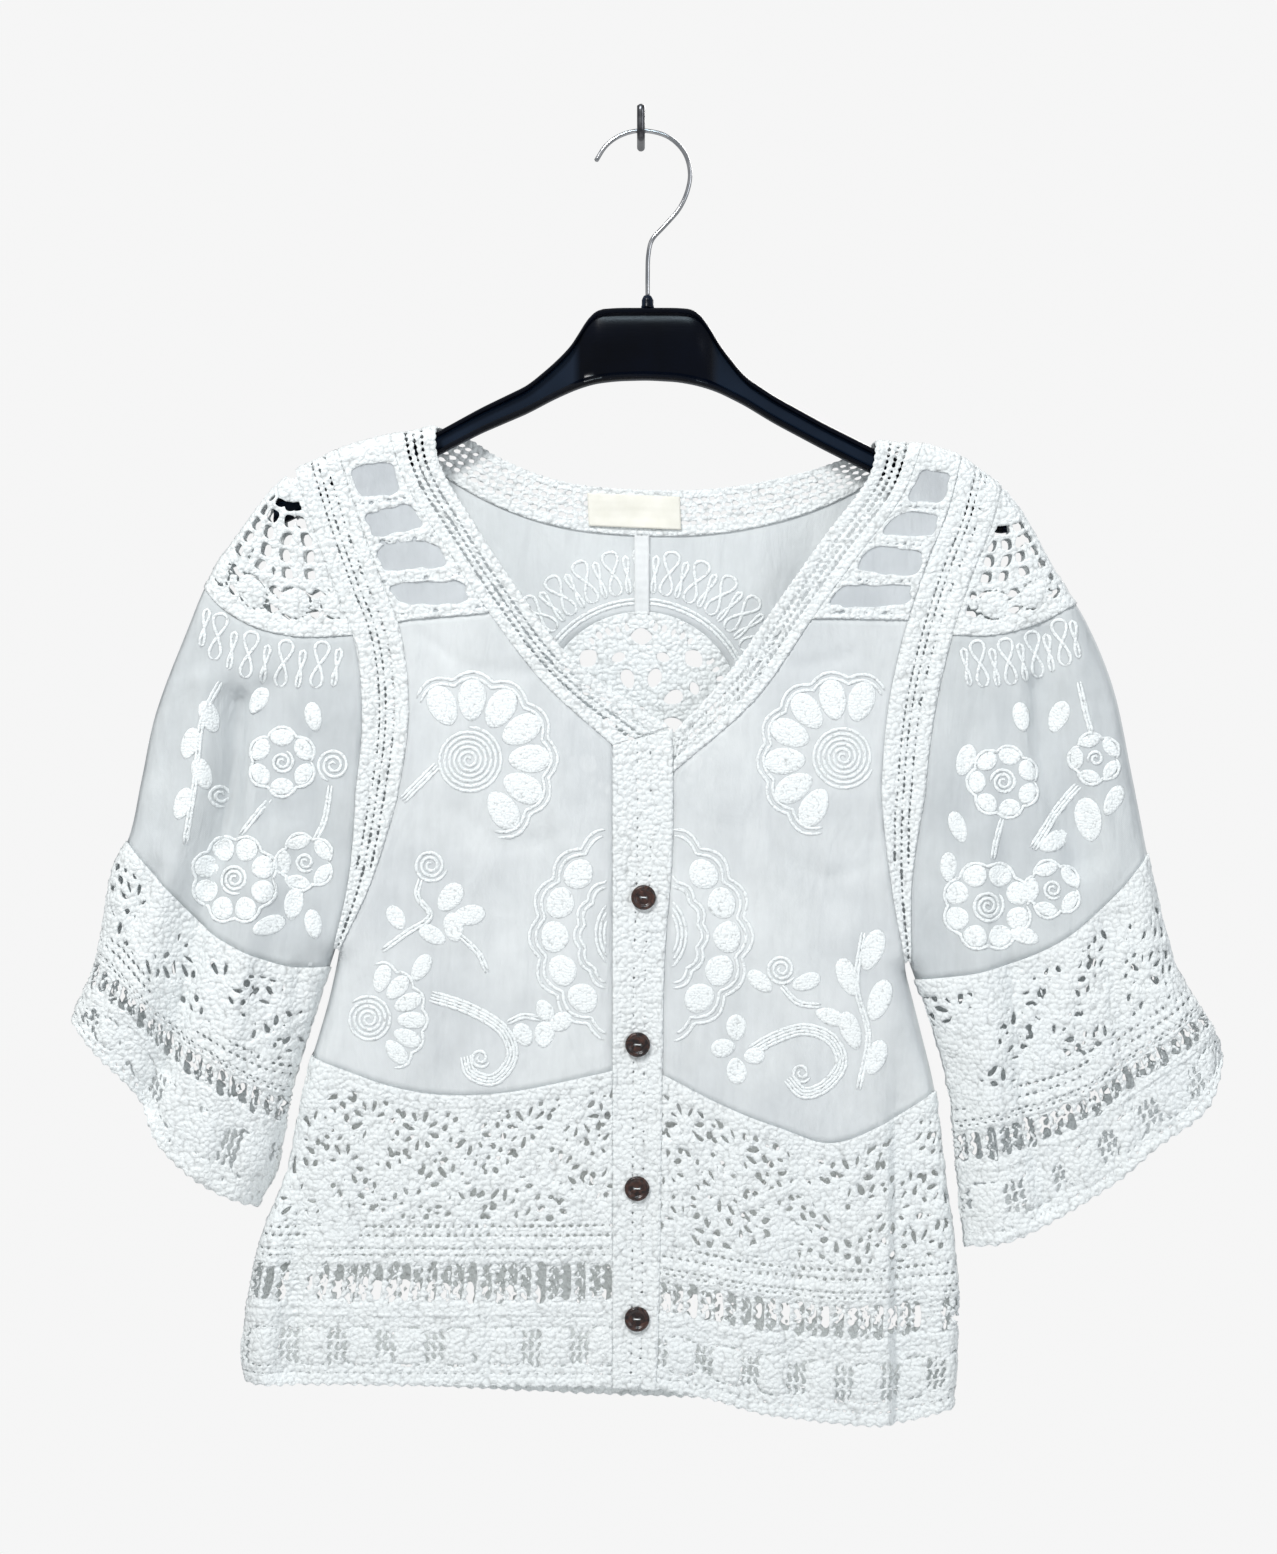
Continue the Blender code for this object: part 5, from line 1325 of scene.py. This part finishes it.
def build_embroidery():
    band = ribbon([(-122, 378), (-134, 390), (-143, 399)], 3)
    applique("daisy_left", gather(flower(-103, 375, 20, 55, 7, -70, 130, 2), (band, [])),
             "applique_daisy_left")
    applique("daisy_right", flower(121, 373, 19, 53, 7, 58, 254, 2), "applique_daisy_right")
    for side, half in ROSETTE_HALVES.items():
        build_rosette(side, *half)
    left = gather(
        flower(-163, 530, 14, 38, 6, -62, 84),
        ([spiral(-126, 438, 1.5, 10, 2.8, 1.0), spiral(-96, 553, 1.5, 6, 1.6, 2.0)]
         + ribbon([(-126, 516), (-102, 524), (-82, 537), (-77, 552), (-88, 566), (-102, 562), (-105, 552)], 4)
         + ribbon([(-132, 446), (-134, 456), (-126, 468), (-140, 478), (-155, 489)], 2)
         + ribbon([(-108, 480), (-97, 491), (-92, 502)], 2) + ribbon([(-80, 532), (-70, 528), (-60, 530)], 2),
         leaves((-115, 458, 50, 20, 13), (-104, 468, 10, 20, 12), (-112, 476, 100, 18, 12),
                (-124, 480, 150, 18, 10), (-146, 470, 120, 16, 10), (-58, 540, 80, 16, 12),
                (-70, 540, 120, 15, 11), (-49, 532, 30, 15, 11), (-58, 524, -60, 14, 10),
                (-132, 500, 60, 18, 10))))
    embroider("sprays_left", left, "front")
    right = gather(
        ([spiral(96, 562, 1.5, 6, 1.6, 2.0), spiral(84, 500, 1.5, 9, 2.6, 2.0)]
         + ribbon([(66, 549), (80, 541), (98, 536), (114, 542), (120, 556), (110, 570), (97, 574),
                   (88, 565)], 4)
         + ribbon([(133, 478), (129, 510), (136, 540), (130, 572)], 2)
         + ribbon([(84, 510), (94, 520), (108, 522)], 2),
         leaves((57, 536, 90, 16, 12), (50, 547, 190, 15, 11), (57, 560, -80, 16, 12),
                (67, 552, 10, 13, 10), (138, 490, 70, 26, 13), (124, 506, 110, 24, 12),
                (142, 520, 70, 26, 13), (126, 538, 110, 24, 12), (140, 554, 70, 22, 12),
                (72, 508, 140, 18, 10), (98, 508, 20, 18, 10), (112, 528, -20, 18, 10))),)
    embroider("sprays_right", right, "front")
    for side in SLEEVE_FLOWERS:
        build_sleeve_flowers(side)
    arc = ([ring(8, 172, 65), ring(8, 172, 67.5)] + loops_on_arc(0, 345, 71, 98, 12, 168, 27), [])
    back = gather(
        arc, ([ring(180, 360, 65)], []),
        flower(-96, 440, 17, 46, 8, 70, 330), flower(96, 440, 17, 46, 8, 210, 470),
        flower(0, 492, 15, 44, 11, 0, 360),
        (ribbon([(-56, 562), (-70, 548), (-84, 554), (-82, 566), (-72, 564)], 3)
         + ribbon([(56, 562), (70, 548), (84, 554), (82, 566), (72, 564)], 3)
         + ribbon([(-128, 520), (-142, 500), (-140, 470)], 2)
         + ribbon([(118, 520), (130, 500), (128, 470)], 2)
         + [spiral(-60, 420, 1.5, 9, 2.4), spiral(60, 420, 1.5, 9, 2.4, 3.0)],
         leaves((-128, 532, 50, 24, 12), (-146, 505, 110, 22, 11), (118, 532, 120, 24, 12),
                (134, 505, 70, 22, 11), (-46, 548, 30, 20, 11), (46, 548, 150, 20, 11),
                (-112, 545, 10, 22, 11), (104, 545, 170, 22, 11))))
    embroider("back_flowers", back, "back")
    cords("back_arc_inside", arc[0], CORD_WIDE, -0.6, "back", lift=-VOILE_THICK)


SLEEVE_FLOWERS = {
    "left": lambda: gather(
        flower(-215, 376, 7, 21, 6, 0, 360), flower(-243, 446, 9, 28, 8, 0, 360),
        flower(-201, 436, 6, 17, 5, 0, 360),
        ([spiral(-184, 378, 1.5, 10, 2.6, 0.6), spiral(-252, 396, 1.5, 7, 1.8)]
         + ribbon([(-252, 328), (-262, 350), (-266, 385), (-272, 425)], 2)
         + ribbon([(-186, 390), (-190, 412), (-196, 424)], 2)
         + ribbon([(-222, 398), (-232, 410), (-240, 420)], 2),
         leaves((-258, 350, 110, 20, 11), (-270, 366, 70, 20, 11), (-262, 384, 110, 20, 11),
                (-274, 402, 70, 20, 11), (-223, 474, 20, 20, 11), (-208, 462, 80, 20, 11),
                (-196, 474, 100, 18, 10), (-230, 340, 60, 18, 10), (-196, 350, 100, 18, 10)))),
    "right": lambda: gather(
        flower(217, 388, 8, 22, 7, 0, 360), flower(207, 462, 10, 28, 8, 0, 360),
        flower(272, 374, 5, 15, 5, 0, 360), flower(246, 452, 6, 17, 5, 0, 360),
        (ribbon([(262, 390), (250, 404), (234, 428)], 3) + ribbon([(216, 410), (212, 424), (210, 434)], 2)
         + ribbon([(262, 328), (266, 346), (270, 360)], 2),
         leaves((194, 376, 70, 20, 11), (268, 412, 100, 27, 15), (282, 400, 60, 20, 10),
                (190, 416, 110, 20, 10), (246, 424, 30, 20, 11), (250, 350, 70, 20, 11),
                (228, 350, 100, 18, 10), (230, 480, 160, 18, 10), (184, 440, 90, 18, 10)))),
}


def build_sleeve_flowers(side):
    """Flowers, leaves and a row of figures of eight on the sheer part of one sleeve."""
    cap_row = smooth_curve(SLEEVE_ROWS[side]["cap"])
    lines = []
    count = 9
    for k in range(count):
        top = along(cap_row, np.array([0.07 + 0.86 * k / (count - 1)]))[0]
        out = np.array([0.18 * np.sign(top[0]), 1.0])
        out /= np.linalg.norm(out)
        lines.append(eight(top + 31 * out, -out, 28 - 5.0 * (k % 2 == 0), 4.0 if k % 2 else 1.6))
    front = SLEEVE_FLOWERS[side]()
    for face in ("front", "back"):
        embroider(f"sleeve_loops_{face}_{side}", (lines, []), face)
        embroider(f"sleeve_flowers_{face}_{side}", front, face)


# hard pieces

def rings_mesh(name, rings, finish):
    """A skin with closed ends over rings of points, each ring with the same count."""
    rings = np.asarray(rings, float)
    n, count = rings.shape[:2]
    i, j = np.meshgrid(np.arange(n - 1), np.arange(count), indexing="ij")
    a, b = i * count + j, i * count + (j + 1) % count
    groups = [np.stack([a, b, b + count, a + count], axis=-1).reshape(-1, 4),
              np.array([list(range(count))[::-1], list(range((n - 1) * count, n * count))])]
    return add_mesh(name, rings.reshape(-1, 3), groups, finish)


def circle(count, radius, x, y, z):
    """Points of a level circle."""
    angle = 2 * math.pi * np.arange(count) / count
    return np.stack([x + radius * np.cos(angle), y + radius * np.sin(angle), np.full(count, z)], axis=1)


def rod(name, points, radius, finish, sides=20, ends=3):
    """A round bent rod with rounded ends, through points in mm."""
    p = np.asarray(points, float)
    run = run_of(p)
    n = max(8, int(run[-1] / (radius * 1.1)))
    at = np.linspace(0, run[-1], n)
    line = np.stack([np.interp(at, run, p[:, k]) for k in range(3)], axis=1)
    slope = np.gradient(line, axis=0)
    slope /= np.linalg.norm(slope, axis=1)[:, None]
    start, end = [], []
    for k in range(ends):
        t = (k + 1) / (ends + 1) * math.pi / 2
        start.append((line[0] - slope[0] * radius * 0.7 * (1 - math.sin(t)), slope[0], radius * math.sin(t)))
        end.append((line[-1] + slope[-1] * radius * 0.7 * (1 - math.sin(t)), slope[-1], radius * math.sin(t)))
    body = [(line[k], slope[k], radius) for k in range(n)]
    across = np.cross(slope[0], (0.0, 0.3, 1.0) if abs(slope[0][2]) < 0.9 else (1.0, 0.2, 0.0))
    rings = []
    for middle, way, size in start + body + end[::-1]:
        across = across - way * np.dot(across, way)
        across /= np.linalg.norm(across)
        other = np.cross(way, across)
        angle = 2 * math.pi * np.arange(sides) / sides
        rings.append(middle + size * (np.cos(angle)[:, None] * across + np.sin(angle)[:, None] * other))
    return rings_mesh(name, rings, finish)


HOOK_LINE = [(-27, 14), (-21, 5), (-12, -1.3), (0.3, -4.05), (16, -0.5), (26, 9), (29.5, 21),
             (28, 32), (23, 43), (14, 53.5), (6.5, 62), (4.4, 71), (4, 82), (4, 95.2)]
WIRE_RADIUS = 1.35
SHANK_RADIUS = 2.4
PRONG_Y = HANGER_Y - 5.6
PRONG_TOP = 18.0
BEND = 4.0
HANGER = [
    (-221, 219.5, 231, 2.6, 1.2), (-218, 217, 234, 4.2, 1.5), (-197, 208, 224, 4.6, 1.6),
    (-160, 192.5, 208, 4.8, 1.6), (-127, 180, 194, 4.8, 1.6), (-96, 163, 178, 5.4, 1.6),
    (-68, 149.5, 166, 5.8, 1.7), (-53, 137, 158, 6, 1.8), (-41, 125, 152.5, 6.2, 2),
    (-34, 112, 150, 6.4, 4.6), (-27, 104, 148, 6.4, 4.8), (-14, 103, 146.5, 6.5, 5),
    (4, 103, 146, 6.5, 5), (22, 103, 147, 6.5, 5), (33, 104, 149, 6.4, 4.8), (40, 112, 151, 6.4, 4.6),
    (47, 125, 153.5, 6.2, 2), (62, 144, 161, 6, 1.8), (80, 156, 172, 5.6, 1.7),
    (110, 172.5, 188, 5.2, 1.6), (142, 188.5, 204, 5, 1.6), (175, 202.5, 218, 4.8, 1.6),
    (205, 216, 233, 4.6, 1.6), (217, 223.5, 240, 4.2, 1.5), (220, 226, 237, 2.6, 1.2),
]
RIM = 3.4
RIM_PROFILE = [(0.55, 0.0), (0.86, 0.16), (1.0, 0.5), (0.97, 0.86)]
COLLAR_Z = -102.7
COLLAR_PROFILE = [(0.5, 7.6), (1.5, 7.6), (2.3, 7.3), (2.7, 6.6), (3.3, 5.4), (3.55, 4.6), (3.55, 1.6),
                  (3.9, 0.9), (3.9, -0.4), (0.5, -0.4)]
HEAD_X = 4.0
HEAD_HALF = 36.0
HEAD_CROWN = 2.3
HEAD_PROFILE = [(0.07, 0.36), (0.2, 0.78), (0.4, 1.0), (0.65, 0.9), (0.88, 0.4)]


def build_hanger():
    """The moulded hanger: rounded rims all round a recessed web, and a thick head."""
    table = np.array(HANGER, float)
    xs = np.unique(np.concatenate([np.linspace(-221, 220, 150), table[:, 0]]))
    columns = [np.mean([np.interp(xs + shift, table[:, 0], column) for shift in (-4, -2, 0, 2, 4)], axis=0)
               for column in table.T[1:]]
    rings = []
    for x, top, foot, half, web in zip(xs, *columns):
        rim = min(RIM, (foot - top) * 0.22)
        side = [(half * a, top + rim * b) for a, b in RIM_PROFILE]
        crown = HEAD_CROWN * (1 - ramp(abs(x - HEAD_X), HEAD_HALF - 9, HEAD_HALF))
        floor = web - 0.35 * crown
        high, low = top + rim * 1.45, foot - rim * 1.45
        side += [(floor + 0.45 * (half - floor), top + rim * 1.12), (floor, high)]
        side += [(floor + crown * rise, high + share * (low - high)) for share, rise in HEAD_PROFILE]
        side += [(floor, low), (floor + 0.45 * (half - floor), foot - rim * 1.12)]
        side += [(half * a, foot - rim * b) for a, b in reversed(RIM_PROFILE)]
        loop = side + [(-y, drop) for y, drop in reversed(side)]
        rings.append([(x, HANGER_Y + y, -drop) for y, drop in loop])
    item = rings_mesh("hanger_shell", rings, PLASTIC)
    item.data.set_sharp_from_angle(angle=math.radians(40))
    dress(item, ["hanger_body"])
    rings = [circle(28, radius, HEAD_X, HANGER_Y, COLLAR_Z + high) for radius, high in COLLAR_PROFILE]
    dress(rings_mesh("collar", rings, PLASTIC), ["hanger_collar"])


def build_hooks():
    line = smooth_curve(HOOK_LINE, 10)
    wire = rod("wire_hook", [(x, HANGER_Y, -drop) for x, drop in line], WIRE_RADIUS, CHROME)
    dress(wire, ["hanger_hook"])
    turns = [math.radians(9 * k) for k in range(11)]
    route = [(0, 0, 0)] + [(0, PRONG_Y + BEND - BEND * math.sin(a), BEND - BEND * math.cos(a)) for a in turns]
    pin = rod("pin_hook", route + [(0, PRONG_Y, PRONG_TOP)], SHANK_RADIUS, DARK_METAL, 24)
    dress(pin, ["wall_hook"])


BUTTON_SHAPE = {"radius": 7.4, "thick": 3.0, "rim": 1.6, "dish": 0.9, "hole_x": 1.75, "hole_radius": 0.85,
                "grid": 7.6, "steps": 50}


def build_button(number, x, drop):
    """A turned button with a raised rim, two holes through it and crossed thread."""
    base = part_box(f"button_{number}")[1].y / MM
    radius, thick, rim, dish, hole_x, hole_radius, grid, count = BUTTON_SHAPE.values()
    steps = np.linspace(-grid, grid, count)
    grid_x, grid_z = np.meshgrid(steps, steps, indexing="ij")
    field = np.minimum(radius - np.hypot(grid_x, grid_z),
                       np.hypot(np.abs(grid_x) - hole_x, grid_z) - hole_radius)
    (dx, dz), faces = cut_grid(field, [grid_x.ravel(), grid_z.ravel()], 0.06)
    reach = np.hypot(dx, dz)
    top = thick - dish * ramp(radius - rim - reach, 0, 1.6) - dish * ramp(reach, radius - 1.0, radius)
    top = top - 0.25 * np.exp(-(np.hypot(np.abs(dx) - hole_x, dz) - hole_radius)**2 / 0.15)
    under = 0.25 * ramp(reach, radius - 1.2, radius)
    outer, inner = (np.stack([x + dx, base - depth, -drop + dz], axis=1) for depth in (top, under))
    points, groups = closed(outer, inner, faces)
    item = add_mesh(f"horn_button_{number}", points, groups, BUTTON)
    item.data.set_sharp_from_angle(angle=math.radians(55))
    dress(item, [f"button_{number}"])
    level = base - thick + 0.75
    thread = [(x - hole_x, base - 0.3, -drop), (x - 1.7, level, -drop + 0.1), (x, level - 0.35, -drop),
              (x + 1.7, level, -drop - 0.1), (x + hole_x, base - 0.3, -drop)]
    dress(rod(f"button_thread_{number}", thread, 0.34, CORD, 8, 1), ())


def build_buttons():
    for number, (x, drop) in enumerate(BUTTONS, 1):
        build_button(number, x, drop)


def build_label():
    """A blank tape sewn at both ends inside the back neckband."""
    turn = math.radians(LABEL["tilt_deg"])

    def place(u, v):
        x, down = (u - 0.5) * LABEL["width"], (v - 0.5) * LABEL["height"]
        return np.stack([LABEL["x"] + x * math.cos(turn) - down * math.sin(turn),
                         LABEL["drop"] - x * math.sin(turn) + down * math.cos(turn)], axis=1)

    def bowed(u, v):
        bow = 0.5 * np.sin(math.pi * u) * (0.6 + 0.4 * np.sin(2.4 * math.pi * v))
        return np.full(len(u), SOLID), UNDER_LIFT - bow
    item = cloth("label_tape", SATIN, place, (LABEL["width"], LABEL["height"]), 1.2, bowed, "back", 0.4)
    dress(item, ["neck_label"])


# stage, light and camera

BACKDROP = 0.92
AMBIENT = (0.95, 0.98, 1.0, 1)
AMBIENT_STRENGTH = 0.50
FLOOR = {"radius": 1500.0, "top": -1300.0, "thick": 2.0}
CAMERA_Y = -2.25
FRAME_HIGH = 932.0
SENSOR = 36.0
VIEW = {"x": -1.5, "drop": 385.0, "depth": 8.0}
# name, place, target, size, power and tint of each round light
STUDIO = [
    ("key", (-0.9, -1.75, 1.4), (0, 0, -0.42), 0.6, 52.0, (1.0, 0.99, 0.975)),
    ("fill", (1.7, -1.5, 0.1), (0, 0, -0.45), 1.2, 10.0, (0.93, 0.96, 1.0)),
    ("back", (0.9, 1.9, 0.9), (0, 0, -0.4), 1.2, 34.0, (1.0, 0.98, 0.96)),
]


def add_object(name, data):
    item = bpy.data.objects.new(name, data)
    bpy.context.scene.collection.objects.link(item)
    return item


def build_stage():
    rings = [circle(96, FLOOR["radius"], 0.0, 0.0, FLOOR["top"] - below) for below in (FLOOR["thick"], 0.0)]
    grey = mottled_material("pale_floor", 3.0, 2.0, (0.78, 0.78, 0.78), (0.82, 0.82, 0.82), 0.9)
    rings_mesh("floor", rings, grey)


def build_world():
    """A pale backdrop for the camera, and a softer light for everything else."""
    bpy.context.scene.view_settings.view_transform = "Standard"
    world = bpy.data.worlds.new("studio")
    bpy.context.scene.world = world
    world.use_nodes = True
    tree = world.node_tree
    tree.nodes.clear()
    seen = add_node(tree, "ShaderNodeBackground", {"Color": (BACKDROP, BACKDROP, BACKDROP, 1)})
    soft = add_node(tree, "ShaderNodeBackground", {"Color": AMBIENT, "Strength": AMBIENT_STRENGTH})
    path = add_node(tree, "ShaderNodeLightPath", {})
    mix = add_node(tree, "ShaderNodeMixShader", {"Fac": path.outputs["Is Camera Ray"], 1: soft.outputs[0],
                                                 2: seen.outputs[0]})
    add_node(tree, "ShaderNodeOutputWorld", {"Surface": mix.outputs[0]})


def area_light(name, place, target, size, power, tint, high=None):
    """A round light, or a rectangle of the given height that the camera doesn't see."""
    data = bpy.data.lights.new(name, "AREA")
    data.shape = "RECTANGLE" if high else "DISK"
    data.size = size
    data.energy = power
    data.color = tint
    item = add_object(name, data)
    item.location = place
    item.rotation_euler = (Vector(target) - Vector(place)).to_track_quat("-Z", "Y").to_euler()
    if high:
        data.size_y = high
        item.visible_camera = False
    return item


def build_lights():
    """The studio, the light that the cloth throws on its inside, and a strip seen as a reflection only."""
    for row in STUDIO:
        area_light(*row)
    hanger_y = HANGER_Y * MM
    area_light("inner_bounce", (-0.022, hanger_y, -0.655), (-0.022, 1.0, -0.655), 0.4, 0.033,
               (1.0, 0.955, 0.89), 0.18)
    gloss = area_light("gloss_strip", (-0.1, -1.6, 1.3), (0, hanger_y, -0.125), 1.1, 15.0,
                       (0.72, 0.9, 1.0), 0.14)
    gloss.visible_diffuse = False


def build_camera():
    data = bpy.data.cameras.new("camera")
    item = add_object("camera", data)
    item.location = (VIEW["x"] * MM, CAMERA_Y, -VIEW["drop"] * MM)
    item.rotation_euler = (math.radians(90), 0, 0)
    data.sensor_fit = "AUTO"
    data.sensor_width = SENSOR
    data.lens = SENSOR * (-CAMERA_Y + (HANGER_Y - VIEW["depth"]) * MM) / (FRAME_HIGH * MM)
    data.clip_start = 0.05
    data.clip_end = 50.0
    bpy.context.scene.camera = item


build_camera()
for side in ("left", "right"):
    build_front(side)
    build_sleeve(side)
for build in (build_bands, build_placket, build_back, build_embroidery, build_hanger, build_hooks,
              build_buttons, build_label, build_stage, build_world, build_lights):
    build()
bpy.context.view_layer.update()
